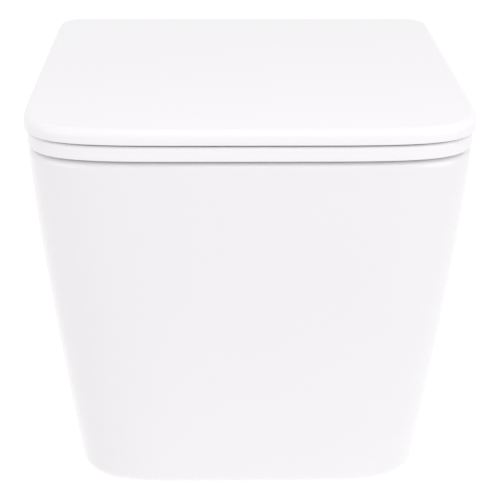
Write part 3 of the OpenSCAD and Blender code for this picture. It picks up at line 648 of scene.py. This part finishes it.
def ease(s):
    """Goes from 0 to 1 with a level start and end."""
    s = min(max(s, 0), 1)
    return s * s * (3 - 2 * s)


def bowl_share(v, power):
    """Profile of the bowl at the share v of its depth: 1 at the ledge and 0 at the sump."""
    return max(1 - v**power, 0) ** (1 / power)


def bowl_levels(sizes, grow):
    """Levels of the bowl from the sump up to the ledge."""
    half_top = mm(sizes.mouth) / 2 - LEDGE
    front_top = -mm(sizes.length) + MOUTH_LAND + LEDGE
    rear_top = MOUTH_REAR - LEDGE
    sump_front = THROAT_Y - SUMP_LENGTH
    levels = []
    for i in range(BOWL_STEPS, -1, -1):
        v = 1 - (1 - i / BOWL_STEPS) ** 2
        z = LEDGE_Z - (LEDGE_Z - SUMP_Z) * v
        floor = min(max((SUMP_Z + FLOOR_RISE - z) / FLOOR_RISE, 0), 1)
        rear = rear_top + (THROAT_Y - rear_top) * ease((LEDGE_Z - z) / REAR_FALL)
        rear -= FLOOR_PULL * (1 - math.sqrt(1 - floor * floor))
        half = SUMP_HALF + (half_top - SUMP_HALF) * bowl_share(v, SIDE_CURVE)
        front = sump_front + (front_top - sump_front) * bowl_share(v, FRONT_CURVE)
        power = MOUTH_POWER - (MOUTH_POWER - 2) * v
        levels.append((z - grow * v, half + grow, rear + grow, front - grow, power))
    return levels


def mouth_level(sizes, z, grow):
    """Level of the bowl's mouth at the height z, grown by grow."""
    front = -mm(sizes.length) + MOUTH_LAND
    return (z, mm(sizes.mouth) / 2 + grow, MOUTH_REAR + grow, front - grow, MOUTH_POWER)


def bowl_outside(sizes):
    """Outer side of the bowl's wall, up into the deck."""
    top = [mouth_level(sizes, z, WALL) for z in (LEDGE_Z + LEDGE_STEP, RIM_Z - DECK / 2)]
    return skin("bowl", bowl_levels(sizes, WALL) + top)


def bowl_water_side(sizes):
    """Inner side of the bowl, with the rounded edge of its mouth."""
    lip = []
    for i in range(LIP_STEPS + 1):
        t = math.radians(90 * i / LIP_STEPS)
        down, out = MOUTH_ROUND * (1 - math.sin(t)), MOUTH_ROUND * (1 - math.cos(t))
        lip.append(mouth_level(sizes, RIM_Z - down, out))
    # The top of the lip stays a little inside the level above it, so that the tool widens all the way up
    lip[-1] = mouth_level(sizes, RIM_Z, MOUTH_ROUND - PLAY)
    ledge = mouth_level(sizes, LEDGE_Z + LEDGE_STEP, 0)
    top = mouth_level(sizes, RIM_Z + OVER_RIM, MOUTH_ROUND)
    return skin("water", [*bowl_levels(sizes, 0), ledge, *lip, top])


def pipe_mouth(name, r, y, z):
    """Circle of radius r that faces along Y, in edit mode and selected, as the start of a pipe."""
    free()
    bpy.ops.mesh.primitive_circle_add(
        vertices=PIPE_SIDES, radius=r, location=(0, y, z), rotation=(math.pi / 2, 0, 0)
    )
    o = settle()
    o.name = name
    edit(o)
    bpy.ops.mesh.select_all(action="SELECT")
    return o


def close_pipe(o):
    """Fills both ends of a pipe."""
    bpy.ops.mesh.select_all(action="DESELECT")
    bpy.ops.mesh.select_non_manifold(extend=False)
    bpy.ops.mesh.edge_face_add()
    outward(o)


def spin_pipe(centre, angle):
    """Turns the open end of a pipe about a centre in the YZ plane, up for a positive angle in degrees."""
    bpy.ops.mesh.spin(
        steps=BEND_STEPS, angle=math.radians(angle), center=(0, centre[0], centre[1]), axis=(-1, 0, 0)
    )


def trap_tube(name, r):
    """The trap: a circle drawn along the dip, up the rise, over the weir and down the fall."""
    o = pipe_mouth(name, r, RISE_Y - BEND - TRAP_LEAD, DIP_Z)
    bpy.ops.mesh.extrude_region_move(TRANSFORM_OT_translate={"value": (0, TRAP_LEAD, 0)})
    spin_pipe((RISE_Y - BEND, DIP_Z + BEND), 90)
    bpy.ops.mesh.extrude_region_move(TRANSFORM_OT_translate={"value": (0, 0, WEIR_Z - DIP_Z - 2 * BEND)})
    spin_pipe((WEIR_Y, WEIR_Z - BEND), -90)
    spin_pipe((WEIR_Y, WEIR_Z - FALL_BEND), -90)
    close_pipe(o)
    return o


def flush_channel(name, grow, front, rear):
    """Flush channel: a round pipe at the inlet that rises and flattens to a slot behind the hood."""
    o = pipe_mouth(name, 1, rear, INLET_Z)
    half, tall, level = CHANNEL_R + grow, CHANNEL_R + grow, INLET_Z
    bpy.ops.transform.resize(value=(half, 1, tall), center_override=(0, rear, level))
    step = (front - rear) / CHANNEL_STEPS
    for i in range(1, CHANNEL_STEPS + 1):
        s = ease(i / CHANNEL_STEPS)
        new_half = CHANNEL_R + (SLOT_HALF - CHANNEL_R) * s + grow
        new_tall = CHANNEL_R + (SLOT_H / 2 - CHANNEL_R) * s + grow
        new_level = INLET_Z + (SLOT_Z - INLET_Z) * s
        bpy.ops.mesh.extrude_region_move(TRANSFORM_OT_translate={"value": (0, step, new_level - level)})
        bpy.ops.transform.resize(
            value=(new_half / half, 1, new_tall / tall), center_override=(0, rear + step * i, new_level)
        )
        half, tall, level = new_half, new_tall, new_level
    close_pipe(o)
    return o


def flush_hood():
    """Hood that turns the flush water to both sides: a block with its underside hollowed."""
    front = MOUTH_REAR - HOOD_REACH
    root = MOUTH_REAR + WALL / 2
    o = block((-HOOD_HALF, front, SLOT_LOW), (HOOD_HALF, root, RIM_Z - DECK), HOOD_EDGE)
    roof = SLOT_LOW + SLOT_H + HOOD_SPARE
    side, low = HOOD_HALF + PAST, SLOT_LOW - PAST
    cut(o, block((-side, front + HOOD_WALL, low), (side, root + PAST, roof)))
    return o


def hanging_lug(sizes, side):
    """Shelf that hangs on a fixing block, with the boss of the side hole below it."""
    inner, low = SHELF_INNER, BLOCK_Z + PLAY
    outer = pan_half(sizes, BLOCK_Z) - SKIRT / 2
    shelf = block((inner, SHELF_FRONT, low), (outer, SHELF_REAR, SHELF_TOP), SHELF_EDGE)
    edge = pan_half(sizes, STUD_Z)
    inner, outer = edge - BOSS_L, edge - SKIRT / 2
    add(shelf, block((inner, SHELF_FRONT, -BLOCK_Z), (outer, SHELF_REAR, BOSS_TOP), SHELF_EDGE))
    if side < 0:
        take(shelf)
        bpy.ops.transform.mirror(constraint_axis=(True, False, False), center_override=(0, 0, 0))
        settle()
        outward(shelf)
    return shelf


def bar_y(y0, y1, z, r):
    """Round bar along Y in the middle of the pan."""
    return bar((0, y0, z), (0, y1, z), r)


class TOILET_OT_glazed_pan(bpy.types.Operator):
    """Models the glazed pan with its skirt, bowl, trap, horn and inlet"""

    bl_idname = "toilet.glazed_pan"
    bl_label = "Glazed pan"

    def execute(self, context):
        sizes = context.scene.toilet_pan
        outside = pan_levels(sizes, FOOT_Z, RIM_Z, 16, inset=0, rear=0)
        pan = stack("pan", outside, sizes.power)
        rim, foot = mm(sizes.rim_round), mm(sizes.foot_round)
        round_edges(pan, self.outer_edge(RIM_Z), rim, segments=8, profile=RIM_PROFILE)
        round_edges(pan, self.outer_edge(FOOT_Z), foot, segments=8)
        inside = pan_levels(sizes, FOOT_Z + SKIRT, RIM_Z - DECK, 10, inset=SKIRT, rear=PAST)
        cut(pan, stack("hollow", inside, sizes.power, segments=24))

        add(pan, bowl_outside(sizes), trap_tube("trap", PASSAGE + WALL))
        add(pan, bar_y(CHAMBER_FRONT - WALL, HORN_END, OUTLET_Z, OUTLET_R + HORN_STEP))
        add(pan, bar_y(HORN_END - WALL, OUTLET_RECESS, OUTLET_Z, OUTLET_R))
        add(pan, bar_y(INLET_END - INLET_WALL, INLET_RECESS, INLET_Z, INLET_R + INLET_WALL))
        add(pan, flush_channel("channel", INLET_WALL, *CHANNEL_ENDS))
        for side in SIDES:
            add(pan, hanging_lug(sizes, side))

        cut(pan, bowl_water_side(sizes), flush_channel("flush", 0, *FLUSH_ENDS))
        add(pan, flush_hood())
        cut(pan, trap_tube("passage", PASSAGE), bar_y(CHAMBER_FRONT, PAST, OUTLET_Z, OUTLET_BORE))
        cut(pan, bar_y(INLET_END, PAST, INLET_Z, INLET_R))
        for side in SIDES:
            self.cut_side_holes(pan, sizes, side)
        finish(pan, "glazed_pan", "Glazed vitreous china", "glazed_ceramic", "pan", *PAN_NODES)
        return {"FINISHED"}

    @staticmethod
    def outer_edge(z):
        """Test for the edges of the outline at the height z, apart from the one on the wall."""

        def test(e):
            a, b = (v.co for v in e.verts)
            return at(z)(a) and at(z)(b) and not (a.y > -NEAR and b.y > -NEAR)

        return test

    @staticmethod
    def cut_side_holes(pan, sizes, side):
        """Cuts the seat's hole through the deck, and the clamp screw's hole with the recess of its cap."""
        x = side * POST_X
        low, high = RIM_Z - DECK - PAST, RIM_Z + PAST
        cut(pan, bar((x, POST_Y, low), (x, POST_Y, high), POST_HOLE_R, PIPE_SIDES))
        edge = side * pan_half(sizes, STUD_Z)
        inner, outer = edge - side * (BOSS_L + PAST), edge + side * PAST
        cut(pan, bar((inner, CLAMP_Y, STUD_Z), (outer, CLAMP_Y, STUD_Z), SIDE_HOLE_R, PIPE_SIDES))
        inner = edge - side * CAP_T
        cut(pan, bar((inner, CLAMP_Y, STUD_Z), (outer, CLAMP_Y, STUD_Z), CAP_R))


# The seat, with the sizes of its solids in millimetres

# Hinge: its axis, the barrels round it, the sides of a hinge block, and the lugs beside it
AXIS_Y = -50
AXIS_Z = 109.5
BARREL = 7.5
BARREL_GAP = 0.4
HINGE_IN = 61.5
HINGE_OUT = 93.5
GAP = 0.5
LUG = 16
LUG_END = 1
LAP = 0.2

# Ring: its heights, how far it stands past the pan, its opening, notches, lugs and buffer seats
REAR_ROUND = 24
RING_Z = 94
RING_TOP = 106
RING_REAR = AXIS_Y + 3
RING_FRONT = 1.5
RING_LOWER_EDGE = 1.2
OPENING_REAR = -152
OPENING_FRONT = 60
OPENING_POWER = 2.7
NOTCH_Y = -80
LID_NOTCH_Y = AXIS_Y - BARREL - 2
RING_LUG_Y = AXIS_Y - BARREL - 6
RING_LUG_TOP = AXIS_Z + 2
RING_BUFFER_X = 164.25
RING_BUFFER_Y = (-140, -325)
RING_BUFFER_HALF = (4.6, 15.1)
RING_BUFFER_SEAT = 0.6

# Lid: its heights, how far it stands past the pan, its walls, lugs and the bosses of its buffers
LID_Z = 107.5
LID_TOP = 120
LID_REAR = AXIS_Y + 1
LID_FRONT = 3
LID_LOWER_EDGE = 0.8
LID_WALL = 4.5
LID_SKIN = 4
LID_INNER_ROUND = 3
LID_LUG_Y = (AXIS_Y - BARREL - 3, AXIS_Y - 3)
LID_BUFFER_X = 150
LID_BUFFER_Y = (-120, -400)
LID_BUFFER_H = 3.1
LID_BOSS_R = 8
LID_PEG_R = 2.05
LID_PEG_TOP = 7.2

# Holes on the hinge axis
PIN_R = 3.05
SHAFT_R = 3.25
SHAFT_FLAT = 2.29


def level_edge(z, leans):
    """Test for the edges at the height z that border a face whose normal leans as asked."""

    def test(e):
        a, b = (v.co for v in e.verts)
        return at(z)(a) and at(z)(b) and any(leans(f.normal.z) for f in e.link_faces)

    return test


def upper_edge(z):
    """Test for the edges where a flat top at the height z meets a side."""
    return level_edge(z, lambda n: n < 0.5)


def lower_edge(z):
    """Test for the edges where a flat underside at the height z meets a side."""
    return level_edge(z, lambda n: n > -0.5)


def slab(name, half, rear, front, nose, low, high, power, rear_round):
    """Flat solid between two heights, with rounded corners at the rear."""
    return stack(name, [(z, half, rear, front, nose) for z in (low, high)], power, CORNER, rear_round)


def span(x0, x1, y0, y1, z0, z1):
    """Block whose X values may be given in either order."""
    x0, x1 = sorted((x0, x1))
    return block((x0, y0, z0), (x1, y1, z1))


def shaft_hole(x0, x1, driven):
    """Tool for a hole on the hinge axis: round for a plain pin, with two flats for a driven shaft."""
    x0, x1 = sorted((x0, x1))
    ends = (x0, AXIS_Y, AXIS_Z), (x1, AXIS_Y, AXIS_Z)
    if not driven:
        return bar(*ends, PIN_R, PIN_SIDES)
    tool = bar(*ends, SHAFT_R, PIN_SIDES)
    low, high = AXIS_Z - SHAFT_FLAT, AXIS_Z + SHAFT_FLAT
    combine(tool, span(x0 - PAST, x1 + PAST, AXIS_Y - PAST, AXIS_Y + PAST, low, high), "INTERSECT")
    return tool


class TOILET_OT_seat_ring(bpy.types.Operator):
    """Models the seat ring with its notches and hinge lugs"""

    bl_idname = "toilet.seat_ring"
    bl_label = "Seat ring"

    def execute(self, context):
        pan, seat = context.scene.toilet_pan, context.scene.toilet_seat
        half = mm(seat.ring_width) / 2
        front, nose = -mm(pan.length) - RING_FRONT, mm(pan.nose)
        ring = slab("ring", half, RING_REAR, front, nose, RING_Z, RING_TOP, pan.power, REAR_ROUND)
        oval = (mm(seat.opening) / 2, OPENING_REAR, front + OPENING_FRONT, OPENING_POWER)
        cut(ring, skin("opening", [(z, *oval) for z in (RING_Z - PAST, RING_TOP + PAST)], segments=24))
        round_edges(ring, upper_edge(RING_TOP), mm(seat.ring_round), segments=6)
        round_edges(ring, lower_edge(RING_Z), RING_LOWER_EDGE, segments=3)
        for side in SIDES:
            self.cut_notches(ring, side)
        for side in SIDES:
            self.add_lug(ring, side)
            for y in RING_BUFFER_Y:
                self.cut_buffer_seat(ring, side * RING_BUFFER_X, y)
        finish(ring, "seat_ring_moulding", "Moulded thermoset", "seat_plastic", "ring", "seat_ring")
        return {"FINISHED"}

    @staticmethod
    def cut_notches(ring, side):
        """Cuts room for a hinge block with its button, and for the lid's lug beside it."""
        low, high = RING_Z - PAST, RING_TOP + PAST
        rear = RING_REAR + PAST
        # LAP keeps the sides of this notch off the planes of the lugs beside it
        inner, outer = HINGE_IN - GAP - LAP, HINGE_OUT + GAP - LAP
        cut(ring, span(side * inner, side * outer, NOTCH_Y, rear, low, high))
        inner, outer = HINGE_IN - 2 * GAP - LUG, HINGE_IN - GAP
        cut(ring, span(side * inner, side * outer, LID_NOTCH_Y, rear, low, high))

    @staticmethod
    def add_lug(ring, side):
        """Adds a hinge lug with its hole: for a damper's shaft on the left, for a plain pin on the right."""
        near, far = side * (HINGE_OUT + GAP), side * (HINGE_OUT + GAP + LUG)
        lug = span(near, far, RING_LUG_Y, AXIS_Y, AXIS_Z - BARREL, RING_LUG_TOP)
        add(lug, bar((near, AXIS_Y, AXIS_Z), (far, AXIS_Y, AXIS_Z), BARREL))
        add(ring, lug)
        cut(ring, shaft_hole(near - side, far - side * LUG_END, side < 0))

    @staticmethod
    def cut_buffer_seat(ring, x, y):
        """Cuts the shallow seat of a buffer into the underside."""
        wide_half, long_half = RING_BUFFER_HALF
        low, high = RING_Z - PAST, RING_Z + RING_BUFFER_SEAT
        cut(ring, span(x - wide_half, x + wide_half, y - long_half, y + long_half, low, high))


class TOILET_OT_lid(bpy.types.Operator):
    """Models the lid with its hollow, bosses and hinge lugs"""

    bl_idname = "toilet.lid"
    bl_label = "Lid"

    def execute(self, context):
        pan, seat = context.scene.toilet_pan, context.scene.toilet_seat
        half = mm(seat.lid_width) / 2
        front, nose = -mm(pan.length) - LID_FRONT, mm(pan.nose)
        lid = slab("lid", half, LID_REAR, front, nose, LID_Z, LID_TOP, pan.power, REAR_ROUND)
        round_edges(lid, upper_edge(LID_TOP), mm(seat.lid_round), segments=10)
        round_edges(lid, lower_edge(LID_Z), LID_LOWER_EDGE, segments=2)
        plan = (half - LID_WALL, LID_REAR - LID_WALL, front + LID_WALL, nose - LID_WALL)
        low, high = LID_Z - PAST, LID_TOP - LID_SKIN
        hollow = slab("hollow", *plan, low, high, pan.power, REAR_ROUND - LID_WALL)
        round_edges(hollow, upper_edge(high), LID_INNER_ROUND, segments=4)
        cut(lid, hollow)
        for side in SIDES:
            self.make_hinge(lid, side)
            for y in LID_BUFFER_Y:
                self.add_boss(lid, side * LID_BUFFER_X, y)
        finish(lid, "lid_moulding", "Moulded thermoset", "seat_plastic", "lid", "lid")
        return {"FINISHED"}

    @staticmethod
    def make_hinge(lid, side):
        """Cuts room for the hinge and adds the lid's lug with its hole, for a damper's shaft on the right."""
        lug_out, lug_in = HINGE_IN - GAP, HINGE_IN - GAP - LUG
        ring_lug = HINGE_OUT + GAP + LUG
        a, b = side * (lug_in - GAP), side * (ring_lug + GAP)
        cut(lid, bar((a, AXIS_Y, AXIS_Z), (b, AXIS_Y, AXIS_Z), BARREL + BARREL_GAP))
        cut(lid, span(a, b, LID_LUG_Y[1], LID_REAR + 2, LID_Z - 1, LID_TOP + 1))
        a, b = sorted((side * lug_in, side * lug_out))
        lug = span(a, b, *LID_LUG_Y, AXIS_Z, LID_TOP - LID_SKIN / 2)
        add(lug, bar((a, AXIS_Y, AXIS_Z), (b, AXIS_Y, AXIS_Z), BARREL))
        add(lid, lug)
        cut(lid, shaft_hole(side * (lug_out + 1), side * (lug_in + LUG_END), side > 0))

    @staticmethod
    def add_boss(lid, x, y):
        """Adds the boss of a buffer, with the hole of its peg."""
        boss = bar((x, y, RING_TOP + LID_BUFFER_H), (x, y, LID_TOP - LID_SKIN / 2), LID_BOSS_R, PIPE_SIDES)
        cut(boss, bar((x, y, RING_TOP), (x, y, RING_TOP + LID_PEG_TOP), LID_PEG_R, PIN_SIDES))
        add(lid, boss)


# Finishes, and the fittings that keep their CAD shape

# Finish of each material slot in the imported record
SLOT_FINISH = {
    "glazed_ceramic": "Glazed vitreous china",
    "seat_plastic": "Moulded thermoset",
    "white_plastic": "White ABS",
    "button_plastic": "Grey ABS",
    "nylon": "Natural nylon",
    "damper_plastic": "Dark acetal",
    "buffer_rubber": "Off-white elastomer",
    "black_rubber": "Black EPDM rubber",
    "chrome": "Plated zinc",
    "brass": "Turned brass",
    "steel": "Stainless steel",
}


class TOILET_OT_finishes(bpy.types.Operator):
    """Makes the materials"""

    bl_idname = "toilet.finishes"
    bl_label = "Finishes"

    def execute(self, context):
        colours = context.scene.toilet_finishes
        glazed_china(colours.glaze)
        moulded_thermoset(colours.seat)
        moulded_plastic("White ABS", linear("F2F1F2"), 0.22, 0.32, 1.2, 0.01)
        moulded_plastic("Grey ABS", colours.buttons, 0.35, 0.5, 0.9, 0.02)
        moulded_plastic("Natural nylon", linear("E6E3D8"), 0.45, 0.6, 1.5, 0.02)
        moulded_plastic("Dark acetal", linear("2A2B2E"), 0.3, 0.45, 1.0, 0.01)
        moulded_rubber("Off-white elastomer", linear("E4E3E0"))
        moulded_rubber("Black EPDM rubber", linear("232325"))
        turned_metal("Plated zinc", linear("E3E5E8"), 0.06, 0.16, 1.2, 0.004)
        turned_metal("Turned brass", linear("D9B868"), 0.2, 0.34, 0.7, 0.012)
        turned_metal("Stainless steel", linear("C9CBCE"), 0.22, 0.38, 0.8, 0.012)
        return {"FINISHED"}


class TOILET_OT_fittings(bpy.types.Operator):
    """Gives each fitting that keeps its CAD shape the finish of its material slot"""

    bl_idname = "toilet.fittings"
    bl_label = "Fittings"

    def execute(self, context):
        for part in frame["record"]["subparts"]:
            o = frame["nodes"][part["node"]]
            material = bpy.data.materials[SLOT_FINISH[part["material_slot"]]]
            if not o.material_slots:
                raise RuntimeError(part["node"] + " has no material slot")
            for s in o.material_slots:
                s.material = material
        return {"FINISHED"}


# The studio, in metres and degrees

FLOOR_Z = -0.85
FLOOR_SIZE = 14
FLOOR_TONE = (0.9, 0.9, 0.9, 1)
WHITE = (1, 0.995, 1, 1)
FLOOR_GLOW = 0.22
WORLD_LIGHT = 0.81

# Camera: its place and turn, and its focal length and the picture's width in pixels
CAMERA = {"place": (-0.0271, -1.6986, 0.4568), "yaw": 1.21, "pitch": 19.63, "roll": 0.25, "focal": 1633.6}
PICTURE = 500
SENSOR = 36

# Soft boxes: place, target, size, power, and whether the glaze mirrors it
LAMPS = {
    "key": ((1.5, -1.3, 0.5), (0, -0.25, 0), 1.4, 5.2, True),
    "left fill": ((-1.4, -1.2, 0.5), (0, -0.25, 0), 1.4, 3.3, True),
    "front top": ((0.2, -1.0, 1.0), (0, -0.45, 0.09), 0.75, 2.3, True),
    "low": ((0.1, -0.6, -0.7), (0, -0.35, -0.2), 0.5, 0.6, False),
}


def camera_matrix():
    """Place and turn of the camera: yaw to the right, pitch down and roll."""
    yaw, pitch, roll = (math.radians(CAMERA[k]) for k in ("yaw", "pitch", "roll"))
    ahead = Vector((math.sin(yaw) * math.cos(pitch), math.cos(yaw) * math.cos(pitch), -math.sin(pitch)))
    right = Vector((math.cos(yaw), -math.sin(yaw), 0))
    up = right.cross(ahead)
    rolled = right * math.cos(roll) + up * math.sin(roll)
    turn = Matrix((rolled, up * math.cos(roll) - right * math.sin(roll), -ahead)).transposed()
    return Matrix.Translation(CAMERA["place"]) @ turn.to_4x4()


def soft_box(name, place, target, size, power, mirrored):
    """Square area light that faces a target. Without mirrored it draws no patch on the glaze."""
    free()
    bpy.ops.object.light_add(type="AREA", location=place)
    lamp = bpy.context.object
    lamp.name = name
    lamp.rotation_euler = (Vector(target) - Vector(place)).to_track_quat("-Z", "Y").to_euler()
    lamp.data.size = size
    lamp.data.energy = power
    lamp.visible_glossy = mirrored


def shown(tree):
    """Is 1 for a ray that shows the background, directly, mirrored or through glass, and 0 for others."""
    path = put(tree, "ShaderNodeLightPath").outputs
    seen = path["Is Camera Ray"]
    for ray in ("Is Glossy Ray", "Is Transmission Ray"):
        seen = put(tree, "ShaderNodeMath", {"operation": "MAXIMUM"}, {0: seen, 1: path[ray]}).outputs[0]
    return seen


class TOILET_OT_studio(bpy.types.Operator):
    """Sets the floor, the lights, the world and the camera"""

    bl_idname = "toilet.studio"
    bl_label = "Studio"

    def execute(self, context):
        scene = context.scene
        self.lay_floor()
        self.light_world(scene)
        for name, settings in LAMPS.items():
            soft_box(name, *settings)
        bpy.ops.object.camera_add()
        camera = context.object
        camera.matrix_world = camera_matrix()
        camera.data.sensor_width = SENSOR
        camera.data.lens = CAMERA["focal"] * SENSOR / PICTURE
        scene.camera = camera
        scene.view_settings.view_transform = "Standard"
        return {"FINISHED"}

    @staticmethod
    def lay_floor():
        """Lays the floor that keeps the object's shadow."""
        free()
        bpy.ops.mesh.primitive_plane_add(size=FLOOR_SIZE, location=(0, 0, FLOOR_Z))
        floor = settle()
        floor.name = "floor"
        # Painted studio floor: pale, matt and even, and seen as white where nothing shades it
        tree, shader, _ = start_material("Pale studio floor")
        seen = shown(tree)
        mix = put(tree, "ShaderNodeMix", {"data_type": "RGBA", 6: FLOOR_TONE, 7: WHITE}, {0: seen})
        tree.links.new(mix.outputs[2], shader.inputs["Base Color"])
        tree.links.new(between(tree, seen, 0, FLOOR_GLOW), shader.inputs["Emission Strength"])
        shader.inputs["Emission Color"].default_value = WHITE
        shader.inputs["Roughness"].default_value = 0.9
        shader.inputs["Specular IOR Level"].default_value = 0.1
        floor.data.materials.append(bpy.data.materials["Pale studio floor"])

    @staticmethod
    def light_world(scene):
        """Makes the world white where it shows, and a little dimmer as a light."""
        world = bpy.data.worlds.new("Studio")
        scene.world = world
        world.use_nodes = True
        tree = world.node_tree
        ground = tree.nodes["Background"]
        ground.inputs["Color"].default_value = WHITE
        tree.links.new(between(tree, shown(tree), WORLD_LIGHT, 1), ground.inputs["Strength"])


class TOILET_PT_panel(bpy.types.Panel):
    """Sizes, finishes and pieces of the toilet"""

    bl_idname = "TOILET_PT_panel"
    bl_label = "Toilet"
    bl_space_type = "VIEW_3D"
    bl_region_type = "UI"
    bl_category = "Toilet"

    def draw(self, context):
        for name in GROUPS:
            group = getattr(context.scene, name)
            column = self.layout.column(align=True)
            for key in group.__annotations__:
                column.prop(group, key)
        for operator in OPERATORS:
            self.layout.operator(operator.bl_idname)


GROUPS = {"toilet_pan": PanSizes, "toilet_seat": SeatSizes, "toilet_finishes": Finishes}
OPERATORS = (
    TOILET_OT_finishes,
    TOILET_OT_fittings,
    TOILET_OT_glazed_pan,
    TOILET_OT_seat_ring,
    TOILET_OT_lid,
    TOILET_OT_studio,
)
CLASSES = (*GROUPS.values(), *OPERATORS, TOILET_PT_panel)


def register():
    """Registers the classes and their properties."""
    for cls in CLASSES:
        bpy.utils.register_class(cls)
    for name, group in GROUPS.items():
        setattr(bpy.types.Scene, name, bpy.props.PointerProperty(type=group))


def unregister():
    """Takes the classes and their properties away again."""
    for name in GROUPS:
        delattr(bpy.types.Scene, name)
    for cls in reversed(CLASSES):
        bpy.utils.unregister_class(cls)


def main():
    """Runs every operator in order."""
    register()
    for operator in OPERATORS:
        family, name = operator.bl_idname.split(".")
        getattr(getattr(bpy.ops, family), name)()
    free()


if __name__ == "__main__":
    main()
